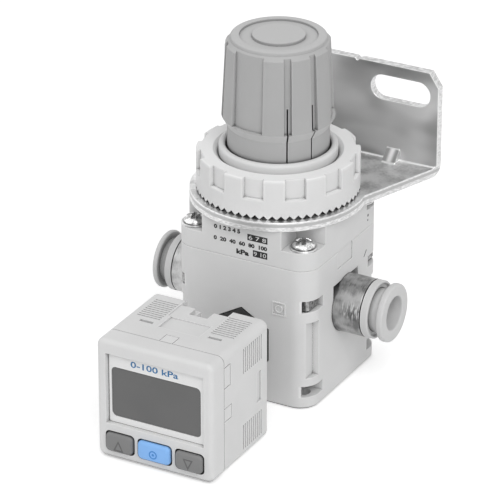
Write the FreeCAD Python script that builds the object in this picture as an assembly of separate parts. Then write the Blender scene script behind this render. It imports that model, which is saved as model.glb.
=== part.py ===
import FreeCAD, Part
import math
import os

# Vacuum regulator with push-in fittings, a mounting bracket and a square digital pressure switch.
# Millimetres, +Z up along the adjusting screw. The origin is the centre of the body's bottom face.
# The front, with the switch, is -Y. The bracket's wall plate is at +Y. The tube to the vacuum pump
# leaves along -X, and the tube to the vessel whose vacuum is set leaves along +X.

V = FreeCAD.Vector
X_AXIS, Y_AXIS, Z_AXIS = V(1, 0, 0), V(0, 1, 0), V(0, 0, 1)
CORNERS = [(1, 1), (-1, 1), (-1, -1), (1, -1)]
SQRT3 = math.sqrt(3.0)
OVERCUT = 1.0           # how far a cutting shape runs past the face that it opens
SAME = 1e-4             # lengths that differ by less than this are equal
CORNER_UP = 30.0        # turns a hexagon so that it lies with a corner on top

# Clearances
RUNNING = 0.06          # radial gap of a shaft that turns or slides in its bore
SLIDING = 0.12          # gap of loose sliding fits and of pressed-in resin parts
SEAT_GAP = 0.02         # gap left between rubber and the metal or resin that it touches

# Body
BODY_SIDE = 36.0
BODY_CORNER_R = 5.0
BODY_H = 35.8
BODY_FOOT_BREAK = 0.5   # bevel around the bottom face
SEAM_BREAK = 0.15       # bevel on each side of the seam between body and bonnet
BREATHER_R = 0.8        # hole that lets air in under the diaphragm

# Corner screws and their pockets
SCREW_INSET = 3.7       # from the body's sides to the screws' axes
SCREW_R = 1.5
SCREW_HOLE_GAP = 0.15
SCREW_HEAD_R, SCREW_HEAD_H, SCREW_HEAD_EDGE = 2.7, 1.9, 0.6     # domed above its upright edge
SCREW_TIP_PAST_NUT = 1.4
CROSS_W, CROSS_SPAN, CROSS_DEPTH = 0.6, 3.2, 1.1
WASHER_R, WASHER_T = 3.15, 0.5
POCKET_SIDE = 7.6       # of the square pockets cut from the bonnet's corners
POCKET_DROP = 4.7       # from the shoulder down to the pocket's floor
NUT_SIDE, NUT_T, NUT_CORNER = 5.0, 2.4, 0.5
NUT_SIDE_GAP, NUT_TOP_GAP = 0.5, 0.5
NUT_END_GAP = 0.6       # free room behind the nut in its slot
NUT_SLOT_DROP = 10.6    # from the seam down to the floor of the upper slots
FOOT_SLOT_Z, FOOT_SLOT_H = 3.1, 2.8
FOOT_HOLE_R = 1.9       # holes for screws into the bottom face
CHANNEL_DEPTH, CHANNEL_INSET = 1.7, 4.7         # of the upright channels between the slots
CHANNEL_FOOT = 2.1      # land between a foot slot and the channel above it
CHANNEL_HEAD = 2.8      # land between the channel and the nut slot above it

# Bonnet: square shoulder, threaded neck outside and guide tower inside
BONNET_H = 9.3
NECK_R = 13.94
NECK_WALL = 1.6
NECK_FLOOR = 6.9        # floor between neck and tower, above the shoulder
NECK_PROUD = 1.65       # height of the neck's rounded rim above the ring nut
TOWER_R = 9.6
TOWER_H = 24.9          # above the shoulder
TOWER_ROOF = 2.3
TOWER_EDGE_R = 0.8
CATCH_DEPTH = 0.7       # catch groove around the tower for the knob's hooks
CATCH_FOOT, CATCH_SPARE = 0.8, 0.58     # land below the groove; spare height above the lifted hooks
SIDE_RECESS_Y0, SIDE_RECESS_Y1 = -4.2, 3.2
SIDE_RECESS_DROP, SIDE_RECESS_DEPTH = 4.5, 0.25

# Mounting bracket
SHEET_T = 2.25
BRACKET_DISC_R = 20.8
BRACKET_HOLE_GAP = 0.15
BRACKET_KINK_IN, BRACKET_KINK_Y = 0.5, 3.8      # where the flared sides leave the disc
BRACKET_HALF_W = 28.55
BRACKET_FLARE_IN = 0.65 # the flat part is this much narrower than the wall plate at the bend
BRACKET_WALL_Y = 25.75  # front face of the wall plate
BRACKET_WALL_H = 23.95  # above the flat part
BRACKET_CHAMFER_W, BRACKET_CHAMFER_H = 2.4, 3.5
BEND_R = 0.5            # inside the bend
SLOT_LEN, SLOT_W = 15.5, 6.3
SLOT_SIDE_LAND, SLOT_TOP_DROP = 2.1, 6.0
DART_X, DART_W, DART_LEG = 17.1, 3.4, 2.9       # pressed stiffening darts across the bend
DART_DENT = 0.6         # depth of the dent behind each dart
NICK_X, NICK_W, NICK_D = 7.2, 1.3, 0.5          # nicks in the top edge

# Ring nut
RING_NUT_R = 19.2
RING_NUT_H = 9.7
RING_NUT_THREAD_GAP = 0.08
RING_NUT_LEAD = 1.25    # 45 degree lead-in at the top of its bore
RING_NUT_EDGE_R = 0.5
NOTCH_COUNT, NOTCH_SPAN, NOTCH_H, NOTCH_DEPTH = 12, 14.8, 4.95, 1.1
NOTCH_FIRST = -49.7     # degrees from +X
SERRATIONS, SERRATION_H, SERRATION_DEPTH = 60, 0.95, 2.6
SERRATION_FILL = 0.96   # share of the pitch that each groove takes at the rim

# Knob
KNOB_H = 15.5           # above the top of the tower
KNOB_SKIRT_GAP = 0.4    # between the skirt and the neck around it
KNOB_FLOOR_GAP = 0.3    # between the skirt's lower edge and the floor of the neck
KNOB_TOWER_GAP = 0.6
KNOB_WALL = 1.9
KNOB_STEP_UP, KNOB_STEP_H = 4.7, 2.3    # cone between skirt and ribs: above the neck's rim, and its height
RIB_SWELL = 1.32        # how far the ribs' lower ends stand out past the skirt
RIB_DRAFT = 0.94        # how much slimmer the knob gets from there to the top
RIB_DEPTH_LOW, RIB_DEPTH_TOP = 0.95, 0.6
RIB_STEP = 30.0         # degrees between rib positions
RIB_SPAN = 22.0
RIB_FIRST = -67.4       # degrees from +X of the first rib of the first group
RIB_GROUPS, RIBS_IN_GROUP = 3, 3
KNOB_RIM_H, KNOB_RIM_R = 0.9, 0.8       # plain rim above the ribs and its rounding
KNOB_RIM_INSET = 1.0    # from the ribs' upper ends in to that rim, over a sloping shoulder
KNOB_ROOF = 2.5
DISH_R, DISH_DEPTH = 9.1, 0.5
MEDAL_R, MEDAL_PROUD = 6.2, 0.15        # raised disc in the dish, and its height above the rim
LATCH_SLIT_W = 0.35
LATCH_SLIT_DROP = 13.6  # from the knob's top down to the upper ends of the slits
HOOK_H, HOOK_GAP, HOOK_LAND = 1.8, 0.25, 2.0    # hooks of the latch tabs; the land is in degrees
KNOB_LIFT = 2.3         # the knob is pulled up this far to unlock it
KNOB_HUB_R, KNOB_HUB_GAP = 5.7, 0.4
KNOB_WEB_T, KNOB_WEBS = 1.2, 3
SOCKET_TOP_GAP = 0.4    # above the hexagonal drive, in the knob's hub

# Adjusting screw, its washer, clip, seal and nut
SPINDLE_R = 2.9
SPINDLE_THREAD_R, SPINDLE_TIP_BREAK = 3.6, 0.6
SPINDLE_COLLAR_R, SPINDLE_COLLAR_H = 6.4, 1.6
SPINDLE_END = 0.8       # of its thread below the nut at the end of its travel
SPINDLE_GROOVE_Z, SPINDLE_GROOVE_H, SPINDLE_GROOVE_DEPTH = 0.5, 1.2, 0.95       # for its seal ring
DRIVE_HEX_AF, DRIVE_CROWN_H = 7.0, 2.1
DRIVE_DROP = 2.0        # from the roof of the knob down to the drive's top
THRUST_WASHER_T = 0.5
CLIP_R, CLIP_T, CLIP_GROOVE_DEPTH = 4.9, 0.6, 0.5
CLIP_OPENING = 3.2
CLIP_LIFT = 0.1         # gap between the clip and the tower's roof
NUT_HEX_AF = 13.4
NUT_H = 5.0
PILOT_GAP, PILOT_H, PILOT_BREAK = 0.3, 1.6, 0.4 # spigot under the nut that centres the spring
NUT_BELOW_COLLAR = 0.3
THREAD_PITCH, KNOB_TURNS = 1.0, 8       # turns of the knob over the nut's whole travel

# Setting spring
SPRING_SIDE_GAP = 0.32  # between the spring and the flats of the tower's bore
SPRING_WIRE_R = 0.75
SPRING_TURNS = 6

# Diaphragm and its plates
CHAMBER_R = 13.0        # chamber below the diaphragm and the space above it
CHAMBER_DROP = 5.6      # from the seam down to the chamber's floor
BEAD_INSET = 2.6        # from the body's side to the diaphragm's clamped rim
DIAPHRAGM_T = 0.8
FOLD_IN, FOLD_OUT, FOLD_H, FOLD_FLAT = 2.1, 0.4, 1.3, 0.2       # the fold, inward from the chamber's wall
DIAPHRAGM_HOLE_GAP = 0.1
UPPER_PLATE_IN, UPPER_PLATE_T = 2.6, 1.0
LOWER_PLATE_IN, LOWER_PLATE_T = 3.4, 0.8
SPRING_CUP_WALL, SPRING_CUP_H = 0.8, 1.4
STUD_R, STUD_HEAD_R, STUD_HEAD_H = 2.0, 3.4, 1.8
STUD_RIVET_R, STUD_RIVET_H = 2.9, 0.7
PAD_R, PAD_T = 2.5, 0.9 # rubber pad under the stud that closes the valve's hollow rod
PLATE_SPACE_H = 4.8     # room above the seam for the upper plate
STROKE, STROKE_SPARE = 0.8, 0.58        # travel of diaphragm and valve, and room below it
SENSE_R, SENSE_X = 0.7, 8.8     # passage from the set port up to the spring's chamber

# Valve below the diaphragm
SEAT_Z = 11.3
SEAT_RIDGE_H, SEAT_RIDGE_W, SEAT_RIDGE_FLAT = 0.4, 0.9, 0.4
SEAT_HOLE_R, SEAT_HOLE_H = 2.4, 1.7
OUTLET_R = 4.0          # upright passage above the seat
GUIDE_H = 3.6           # wall between that passage and the diaphragm's chamber
STEM_SEAL_R, STEM_SEAL_H = 3.2, 2.0
VALVE_CHAMBER_R = 6.3
VALVE_SEAL_R, VALVE_SEAL_T = 3.7, 0.9
VALVE_HEAD_R, VALVE_HEAD_T = 3.9, 1.0
VALVE_ROD_R, VALVE_ROD_BORE_R, VALVE_ROD_LIP = 1.5, 0.7, 0.35
VALVE_VENT_Z = 20.5     # end of the rod's bore, where a cross hole opens it
VALVE_SPRING_WIRE_R, VALVE_SPRING_TURNS = 0.3, 4

# Bottom cap
CAP_R = 7.6
CAP_H = 4.6
CAP_BORE_GAP, CAP_SPACE = 0.05, 0.6
CAP_GROOVE_Z, CAP_GROOVE_H, CAP_GROOVE_DEPTH = 2.6, 1.4, 1.2
CAP_GUIDE_WALL, CAP_GUIDE_H = 0.6, 2.8
CAP_GUIDE_FLOOR_Z = 2.4
CAP_KEY_HOLE_R, CAP_KEY_HOLE_X, CAP_KEY_HOLE_D = 0.8, 5.0, 1.6

# Push-in fittings
FITTING_DROP = 14.6     # from the seam down to the fittings' axis
FITTING_BORE_DEPTH = 10.0
TUBE_R = 4.1            # bore for a tube of 8 mm
FLOW_R = 3.0
RELEASE_WALL, RELEASE_LIP, RELEASE_LIP_L = 1.1, 0.4, 0.8
COLLAR_LIP_GAP = 0.2    # between the button's lip and the collar's bore
COLLAR_WALL, SLEEVE_WALL = 0.6, 0.6
SLEEVE_BORE_GAP = 0.05
SLEEVE_END_GAP = 1.6    # from the bottom of the body's bore to the sleeve
SLEEVE_PROUD = 7.0
SLEEVE_BREAK = 0.4
TUBE_STOP_L = 2.0
RING_GROOVE_X, RING_GROOVE_W, RING_GROOVE_DEPTH = 2.6, 1.3, 1.0
LIP_SEAL_T, LIP_SEAL_WEB = 2.2, 1.0
LIP_SEAL_OUTER, LIP_SEAL_INNER = 0.7, 0.5       # widths of its two lips at their tips
CHUCK_GAP, CHUCK_T, CHUCK_SLOTS, CHUCK_SLOT_W, CHUCK_RIM = 0.1, 1.3, 8, 0.5, 0.9
COLLAR_SPIGOT, COLLAR_FLANGE_L = 2.6, 1.8
COLLAR_STEP = 0.6       # from the sleeve's end inward to the step that holds the button
COLLAR_FLANGE_GAP = 0.3
COLLAR_RIM_W, COLLAR_DISH, COLLAR_BREAK = 0.55, 0.6, 0.25
RELEASE_FLANGE_PROUD, RELEASE_FLANGE_T, RELEASE_FLANGE_EDGE = 0.05, 1.9, 0.7
RELEASE_TRAVEL, RELEASE_STOP_GAP = 1.7, 0.2      # travel of the button, and what is left then
WINDOW_HALF, WINDOW_UP, WINDOW_DEPTH = 6.3, 6.6, 3.0    # squared upper half of the bore's mouth
INLET_DUCT_W, INLET_DUCT_HALF, INLET_DUCT_Z, INLET_DUCT_H = 1.7, 2.0, 6.6, 3.0
OUTLET_DUCT_R = 2.5

# Union between the body and the pressure switch
PORT_Z = 15.15
UNION_HEX_AF = 14.0
UNION_POCKET_GAP, UNION_POCKET_DEPTH = 0.2, 6.0
UNION_PROUD = 0.2
UNION_SPIGOT_R, UNION_SPIGOT_L, UNION_BREAK = 4.5, 5.2, 0.4
UNION_END_GAP = 0.3
UNION_BORE_R = 1.2
UNION_NECK_R = 4.6
UNION_GROOVE_Z, UNION_GROOVE_H, UNION_GROOVE_DEPTH = 1.6, 1.3, 1.0
UNION_THREAD_R, UNION_THREAD_L = 2.5, 3.6
GAUGE_HOLE_R = 1.5
GASKET_R, GASKET_T = 4.2, 0.7

# Pressure switch
SWITCH_SIDE = 30.0
SWITCH_RAISE = 0.15     # of the switch's middle above its port
SWITCH_STANDOFF = 14.7  # from the body's face to the back of the switch
SWITCH_DEPTH = 26.1
COVER_DEPTH = 5.45      # of the front cover, up to its seam with the case
COVER_EDGE_R, COVER_FRONT_R = 1.8, 1.2
COVER_SEAM_BREAK = 0.15  # bevel on each side of the seam between cover and case
COVER_WALL = 1.3
CASE_WALL, CASE_REAR_EDGE, CASE_INNER_R = 1.5, 0.7, 0.9
PANEL_SIDE, PANEL_FOOT, PANEL_HEAD = 2.35, 8.8, 3.4     # margins of the recessed panel
PANEL_DEPTH, PANEL_DRAFT = 1.1, 0.3
LENS_SIDE, LENS_FOOT, LENS_HEAD = 3.4, 10.6, 5.8        # margins of the display window
LENS_T, LENS_CORNER_R, LENS_GAP, LENS_LAND = 1.0, 1.2, 0.05, 1.2
BUTTON_UP, BUTTON_H = 4.45, 4.6
BUTTON_MARGIN, BUTTON_LAND, BUTTON_MID_W = 2.45, 1.35, 8.4
BUTTON_PROUD, BUTTON_EDGE, BUTTON_CORNER_R = 0.9, 0.45, 1.1
BUTTON_GAP = 0.3
BUTTON_FLANGE, BUTTON_FLANGE_T = 0.45, 0.6
BUTTON_STEM_R = 1.0
BUTTON_TRAVEL = 0.5
VENT_N, VENT_W, VENT_DEPTH, VENT_PITCH = 10, 0.45, 0.6, 0.933
VENT_FAR = 3.0          # from the back of the switch to the first vent slot
VENT_MARGIN, VENT_L = 2.4, 6.0
SIDE_VENT_MARGIN, SIDE_VENT_L = 2.1, 6.4
CATCH_W, CATCH_L, CATCH_T, TONGUE_GAP = 3.5, 3.4, 0.5, 0.15     # latch windows behind the seam
TAB_UP, TAB_H, TAB_L = 6.7, 5.5, 2.95           # tab outlined by grooves on each side, behind the seam
TAB_GROOVE_W, TAB_GROOVE_T = 0.25, 0.35
REAR_DISH_W, REAR_DISH_T = 12.4, 0.2            # lowered part of the top, from the back to the dish
DISH_W, DISH_NEAR, DISH_L, FACE_DISH_T = 10.6, 8.8, 6.0, 0.45   # shallow rectangle on top
KEY_HOLE_W, KEY_HOLE_L, KEY_HOLE_NEAR, KEY_HOLE_IN = 3.5, 1.0, 13.3, 6.1
SIDE_DISH_NEAR, SIDE_DISH_L, SIDE_DISH_H = 3.2, 2.2, 7.8
BOARD_BACK, BOARD_T, BOARD_MARGIN, BOARD_CORNER_R = 2.35, 1.2, 0.4, 1.0
POST_R, POST_INSET = 1.3, 3.2           # posts that carry the board
MODULE_T, MODULE_LEG = 2.6, 1.0
KEY_SIDE, KEY_BASE_T, KEY_CAP_R, KEY_CAP_H = 3.0, 1.2, 0.9, 0.5
SOCKET_W, SOCKET_H, SOCKET_L = 12.0, 6.8, 11.0
SOCKET_DROP = 5.6       # from the top of the switch down to the socket's middle
SOCKET_WALL, SOCKET_FLOOR, SOCKET_INSET = 1.0, 2.6, 0.1
SOCKET_NOTCH_L = 2.7    # notch in the case above the socket, as wide as the socket
LATCH_SLOT_W, LATCH_SLOT_L = 4.8, 5.8   # slot for the plug's latch, through the case and the socket
PIN_COUNT, PIN_PITCH, PIN_SIDE, PIN_OUT = 4, 2.0, 0.5, 3.4
PORT_HEX_AF, PORT_FLANGE_T = 12.0, 1.2
PORT_STEM_R, PORT_STEM_L = 4.6, 7.5
SENSOR_SIDE, SENSOR_T, SENSOR_CORNER_R = 9.0, 4.0, 1.0
LEG_R, LEG_OFFSET = 0.3, 3.0            # wire legs from the sensor to the board

# Levels and places that follow from the sizes above
HALF = BODY_SIDE / 2
SEAM_Z = BODY_H
SHOULDER_Z = SEAM_Z + BONNET_H
SCREW_OFFSET = HALF - SCREW_INSET
SCREW_HOLE_R = SCREW_R + SCREW_HOLE_GAP
POCKET_FLOOR_Z = SHOULDER_Z - POCKET_DROP
NUT_SLOT_Z = SEAM_Z - NUT_SLOT_DROP
NUT_SLOT_TOP_Z = NUT_SLOT_Z + NUT_T + NUT_TOP_GAP
NUT_SLOT_W = NUT_SIDE + 2 * NUT_SIDE_GAP
FOOT_SLOT_TOP_Z = FOOT_SLOT_Z + FOOT_SLOT_H
SCREW_TIP_Z = NUT_SLOT_TOP_Z - NUT_T - SCREW_TIP_PAST_NUT
FITTING_Z = SEAM_Z - FITTING_DROP
CHAMBER_Z = SEAM_Z - CHAMBER_DROP
BEAD_R = HALF - BEAD_INSET
DIAPHRAGM_Z = SEAM_Z - DIAPHRAGM_T
NECK_INNER_R = NECK_R - NECK_WALL
NECK_FLOOR_Z = SHOULDER_Z + NECK_FLOOR
TOWER_TOP_Z = SHOULDER_Z + TOWER_H
TOWER_CEILING_Z = TOWER_TOP_Z - TOWER_ROOF
TOWER_HEX_AF = NUT_HEX_AF + 2 * SLIDING
CATCH_R = TOWER_R - CATCH_DEPTH
CATCH_Z = NECK_FLOOR_Z + CATCH_FOOT
HOOK_Z = CATCH_Z + SLIDING
CATCH_TOP_Z = HOOK_Z + HOOK_H + KNOB_LIFT + CATCH_SPARE
PLATE_SPACE_Z = SEAM_Z + PLATE_SPACE_H
RING_NUT_Z = SHOULDER_Z + SHEET_T
RING_NUT_TOP_Z = RING_NUT_Z + RING_NUT_H
NECK_TOP_Z = RING_NUT_TOP_Z + NECK_PROUD
BRACKET_TOP_Z = RING_NUT_Z + BRACKET_WALL_H
SLOT_X = BRACKET_HALF_W - SLOT_SIDE_LAND - SLOT_LEN / 2
SLOT_Z = BRACKET_TOP_Z - SLOT_TOP_DROP
COLLAR_TOP_Z = TOWER_CEILING_Z - THRUST_WASHER_T
COLLAR_BOTTOM_Z = COLLAR_TOP_Z - SPINDLE_COLLAR_H
CLIP_Z = TOWER_TOP_Z + CLIP_LIFT
DRIVE_Z = CLIP_Z + CLIP_T
KNOB_TOP_Z = TOWER_TOP_Z + KNOB_H
KNOB_ROOF_Z = KNOB_TOP_Z - KNOB_ROOF
DRIVE_TOP_Z = KNOB_ROOF_Z - DRIVE_DROP
KNOB_SKIRT_R = NECK_INNER_R - KNOB_SKIRT_GAP
KNOB_SKIRT_Z = NECK_FLOOR_Z + KNOB_FLOOR_GAP
KNOB_INNER_R = TOWER_R + KNOB_TOWER_GAP
KNOB_HUB_Z = DRIVE_Z + KNOB_HUB_GAP
STEP_Z0 = NECK_TOP_Z + KNOB_STEP_UP
STEP_Z1 = STEP_Z0 + KNOB_STEP_H
RIB_TOP_Z = KNOB_TOP_Z - KNOB_RIM_H
RIB_R_LOW = KNOB_SKIRT_R + RIB_SWELL
RIB_R_TOP = RIB_R_LOW - RIB_DRAFT
KNOB_RIM_OUTER_R = RIB_R_TOP - KNOB_RIM_INSET
SPRING_NUT_TOP_Z = COLLAR_BOTTOM_Z - NUT_BELOW_COLLAR
SPRING_NUT_Z = SPRING_NUT_TOP_Z - NUT_H
PILOT_Z = SPRING_NUT_Z - PILOT_H
SPINDLE_Z = PILOT_Z - KNOB_TURNS * THREAD_PITCH - SPINDLE_END
SPRING_R = TOWER_HEX_AF / 2 - SPRING_SIDE_GAP - SPRING_WIRE_R
PILOT_R = SPRING_R - SPRING_WIRE_R - PILOT_GAP
PLATE_TOP_Z = SEAM_Z + UPPER_PLATE_T
STUD_HEAD_TOP_Z = DIAPHRAGM_Z - LOWER_PLATE_T
STUD_HEAD_Z = STUD_HEAD_TOP_Z - STUD_HEAD_H
SENSE_Y = -math.sqrt(((CHAMBER_R + BEAD_R) / 2) ** 2 - SENSE_X ** 2)
GUIDE_Z = CHAMBER_Z - GUIDE_H
VALVE_SEAL_Z = SEAT_Z - SEAT_GAP - VALVE_SEAL_T
VALVE_HEAD_Z = VALVE_SEAL_Z - VALVE_HEAD_T
VALVE_FOOT_Z = CAP_GUIDE_FLOOR_Z + STROKE + STROKE_SPARE
CAP_GUIDE_R = VALVE_ROD_R + RUNNING + CAP_GUIDE_WALL
VALVE_SPRING_R = CAP_GUIDE_R + SLIDING + VALVE_SPRING_WIRE_R
CAP_TOP_Z = CAP_H + CAP_SPACE
RELEASE_R = TUBE_R + RELEASE_WALL
RELEASE_LIP_R = RELEASE_R + RELEASE_LIP
COLLAR_INNER_R = RELEASE_LIP_R + COLLAR_LIP_GAP
MOUTH_R = COLLAR_INNER_R + COLLAR_WALL
SLEEVE_R = MOUTH_R + SLEEVE_WALL
FITTING_BORE_R = SLEEVE_R + SLEEVE_BORE_GAP
FITTING_BORE_X = HALF - FITTING_BORE_DEPTH
SLEEVE_X0 = FITTING_BORE_X + SLEEVE_END_GAP
SLEEVE_X1 = HALF + SLEEVE_PROUD
TUBE_STOP_X = SLEEVE_X0 + TUBE_STOP_L
COLLAR_X0 = SLEEVE_X1 - COLLAR_SPIGOT
COLLAR_STEP_X = SLEEVE_X1 - COLLAR_STEP
COLLAR_FLANGE_X = SLEEVE_X1 + COLLAR_FLANGE_GAP
COLLAR_X1 = COLLAR_FLANGE_X + COLLAR_FLANGE_L
RELEASE_FLANGE_X = COLLAR_X1 + RELEASE_TRAVEL + RELEASE_STOP_GAP
RELEASE_X1 = RELEASE_FLANGE_X + RELEASE_FLANGE_T
UNION_HEX_Y0 = HALF - UNION_POCKET_DEPTH
UNION_SPIGOT_Y0 = UNION_HEX_Y0 - UNION_SPIGOT_L
SWITCH_BACK = HALF + SWITCH_STANDOFF    # distances forward of the middle of the body
SWITCH_FRONT = SWITCH_BACK + SWITCH_DEPTH
COVER_SEAM = SWITCH_FRONT - COVER_DEPTH
PANEL_FLOOR = SWITCH_FRONT - PANEL_DEPTH
COVER_BACK = PANEL_FLOOR - COVER_WALL   # inner face of the cover's front wall
LENS_BACK = PANEL_FLOOR - LENS_T
BOARD_FRONT = COVER_SEAM - BOARD_BACK
BOARD_REAR = BOARD_FRONT - BOARD_T
KEY_CAP_FRONT = BOARD_FRONT + KEY_BASE_T + KEY_CAP_H
PORT_FACE = SWITCH_BACK - PORT_FLANGE_T
UNION_FACE = PORT_FACE - GASKET_T
SENSOR_BACK = SWITCH_BACK + PORT_STEM_L
SWITCH_HALF = SWITCH_SIDE / 2
SWITCH_MID_Z = PORT_Z + SWITCH_RAISE
SWITCH_Z0 = SWITCH_MID_Z - SWITCH_HALF
SWITCH_TOP_Z = SWITCH_MID_Z + SWITCH_HALF
BUTTON_Z = SWITCH_Z0 + BUTTON_UP
BUTTON_IN = BUTTON_MID_W / 2 + BUTTON_LAND      # inner and outer edges of the side buttons
BUTTON_OUT = SWITCH_HALF - BUTTON_MARGIN
SOCKET_Z = SWITCH_TOP_Z - SOCKET_DROP
SOCKET_TOP_Z = SOCKET_Z + SOCKET_H / 2
SOCKET_MOUTH = SWITCH_BACK + SOCKET_INSET
SOCKET_FLOOR_Y = SOCKET_MOUTH + SOCKET_L - SOCKET_FLOOR


def box(x0, x1, y0, y1, z0, z1):
    """A box between two corners."""
    low = V(min(x0, x1), min(y0, y1), min(z0, z1))
    return Part.makeBox(abs(x1 - x0), abs(y1 - y0), abs(z1 - z0), low)


def front_box(x0, x1, near, far, z0, z1):
    """A box between two distances forward of the middle of the body."""
    return box(x0, x1, -near, -far, z0, z1)


def cylinder(r, z0, z1, x=0.0, y=0.0):
    """An upright cylinder between two heights."""
    return Part.makeCylinder(r, z1 - z0, V(x, y, z0))


def tube(outer_r, inner_r, z0, z1):
    """An upright tube between two heights."""
    return cylinder(outer_r, z0, z1).cut(cylinder(inner_r, z0 - OVERCUT, z1 + OVERCUT))


def polygon(points):
    """A flat face with straight sides."""
    return Part.Face(Part.makePolygon(points + points[:1]))


def polar(r, degrees, z=0.0):
    """A point at a radius and an angle from +X."""
    a = math.radians(degrees)
    return V(r * math.cos(a), r * math.sin(a), z)


def revolve(points):
    """Turn a closed outline of (radius, height) points about the Z axis."""
    return polygon([V(r, 0, z) for r, z in points]).revolve(V(0, 0, 0), Z_AXIS, 360)


def hexagon(across_flats, z0, z1, turn=0.0):
    """An upright hexagonal bar, with a corner at an angle from +X."""
    r = across_flats / SQRT3
    return polygon([polar(r, turn + 60 * k, z0) for k in range(6)]).extrude(V(0, 0, z1 - z0))


def sector(r, start, end, z0, z1):
    """An upright wedge from the axis out past a radius, between two angles."""
    reach = r / math.cos(math.radians((end - start) / 4))
    rim = [polar(reach, a, z0) for a in (start, (start + end) / 2, end)]
    return polygon([V(0, 0, z0)] + rim).extrude(V(0, 0, z1 - z0))


def turned(shape, degrees):
    """The shape turned about the Z axis."""
    shape.rotate(V(0, 0, 0), Z_AXIS, degrees)
    return shape


def fillet(shape, r, wanted):
    """Round the edges for which the test holds."""
    return shape.makeFillet(r, [e for e in shape.Edges if wanted(e)])


def chamfer(shape, size, wanted):
    """Bevel the edges for which the test holds."""
    return shape.makeChamfer(size, [e for e in shape.Edges if wanted(e)])


def lies_at(axis, place):
    """A test for edges that lie whole in the plane where the axis has this value."""
    def test(edge):
        b = edge.BoundBox
        low, high = getattr(b, axis + "Min"), getattr(b, axis + "Max")
        return abs(low - place) < SAME and abs(high - place) < SAME
    return test


def is_ring(r):
    """A test for level circles of this radius about the Z axis."""
    def test(edge):
        b = edge.BoundBox
        return abs(b.XMax - r) < SAME and b.ZLength < SAME
    return test


def is_upright(edge):
    """A test for straight upright edges."""
    b = edge.BoundBox
    return b.XLength < SAME and b.YLength < SAME


def rounded_block(width_x, width_y, z0, z1, r):
    """An upright block with rounded upright edges, centred on the Z axis."""
    block = box(-width_x / 2, width_x / 2, -width_y / 2, width_y / 2, z0, z1)
    return fillet(block, r, is_upright)


def facing_front(shape, z):
    """Lay an upright shape down so that its +Z end points to -Y, at a height."""
    laid = shape.copy()
    laid.rotate(V(0, 0, 0), X_AXIS, 90)
    laid.translate(V(0, 0, z))
    return laid


def facing_side(shape, side, z):
    """Lay an upright shape down so that its +Z end points to +X or -X, at a height."""
    laid = shape.copy()
    laid.rotate(V(0, 0, 0), Y_AXIS, 90 * side)
    laid.translate(V(0, 0, z))
    return laid


def fuse_all(shapes):
    """Join shapes into one solid with no seams left in its faces."""
    return shapes[0].fuse(shapes[1:]).removeSplitter()


def coil(r, wire_r, z0, z1, turns):
    """A compression spring between two heights, with a closed ring at each end."""
    height = z1 - z0 - 2 * wire_r
    path = Part.makeHelix(height / turns, height, r)
    section = Part.Wire(Part.makeCircle(wire_r, V(r, 0, 0), Y_AXIS))
    spring = Part.Wire(path.Edges).makePipeShell([section], True, False)
    spring.translate(V(0, 0, z0 + wire_r))
    return spring.fuse([Part.makeTorus(r, wire_r, V(0, 0, z)) for z in (z0 + wire_r, z1 - wire_r)])


def ring_seal(groove_r, bore_r, z0, z1):
    """A rubber ring of round section between the floor of its groove and its bore."""
    section_r = min(bore_r - groove_r, z1 - z0) / 2 - SEAT_GAP
    return Part.makeTorus(bore_r - SEAT_GAP - section_r, section_r, V(0, 0, (z0 + z1) / 2))


# Body and bonnet

def corner_boxes(x0, x1, y0, y1, z0, z1):
    """The same box at all four corners, given for the +X +Y corner."""
    return [box(sx * x0, sx * x1, sy * y0, sy * y1, z0, z1) for sx, sy in CORNERS]


def corner_cylinders(r, z0, z1):
    """The same upright cylinder on the axis of each corner screw."""
    return [cylinder(r, z0, z1, sx * SCREW_OFFSET, sy * SCREW_OFFSET) for sx, sy in CORNERS]


def corner_cuts():
    """Nut slots and foot slots, open to the sides, the channels between them, and screw holes."""
    out = HALF + OVERCUT
    x0 = SCREW_OFFSET - NUT_SIDE / 2 - NUT_END_GAP
    y0, y1 = SCREW_OFFSET - NUT_SLOT_W / 2, SCREW_OFFSET + NUT_SLOT_W / 2
    channel_z0, channel_z1 = FOOT_SLOT_TOP_Z + CHANNEL_FOOT, NUT_SLOT_Z - CHANNEL_HEAD
    cuts = corner_boxes(x0, out, y0, y1, NUT_SLOT_Z, NUT_SLOT_TOP_Z)
    cuts += corner_boxes(x0, out, y0, y1, FOOT_SLOT_Z, FOOT_SLOT_TOP_Z)
    cuts += corner_boxes(HALF - CHANNEL_DEPTH, out, HALF - CHANNEL_INSET, out, channel_z0, channel_z1)
    cuts += corner_cylinders(SCREW_HOLE_R, SCREW_TIP_Z - CROSS_W, SEAM_Z + OVERCUT)
    cuts += corner_cylinders(FOOT_HOLE_R, -OVERCUT, FOOT_SLOT_TOP_Z)
    return cuts


def fitting_cuts():
    """On each side the fitting's bore, its squared window and the shallow recess above it."""
    cuts = []
    out = HALF + OVERCUT
    for side in (1, -1):
        cuts.append(facing_side(cylinder(FITTING_BORE_R, FITTING_BORE_X, out), side, FITTING_Z))
        cuts.append(box(side * (HALF - WINDOW_DEPTH), side * out, -WINDOW_HALF, WINDOW_HALF,
                        FITTING_Z, FITTING_Z + WINDOW_UP))
        cuts.append(box(side * (HALF - SIDE_RECESS_DEPTH), side * out, SIDE_RECESS_Y0, SIDE_RECESS_Y1,
                        SEAM_Z - SIDE_RECESS_DROP, SEAM_Z + OVERCUT))
    return cuts


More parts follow.
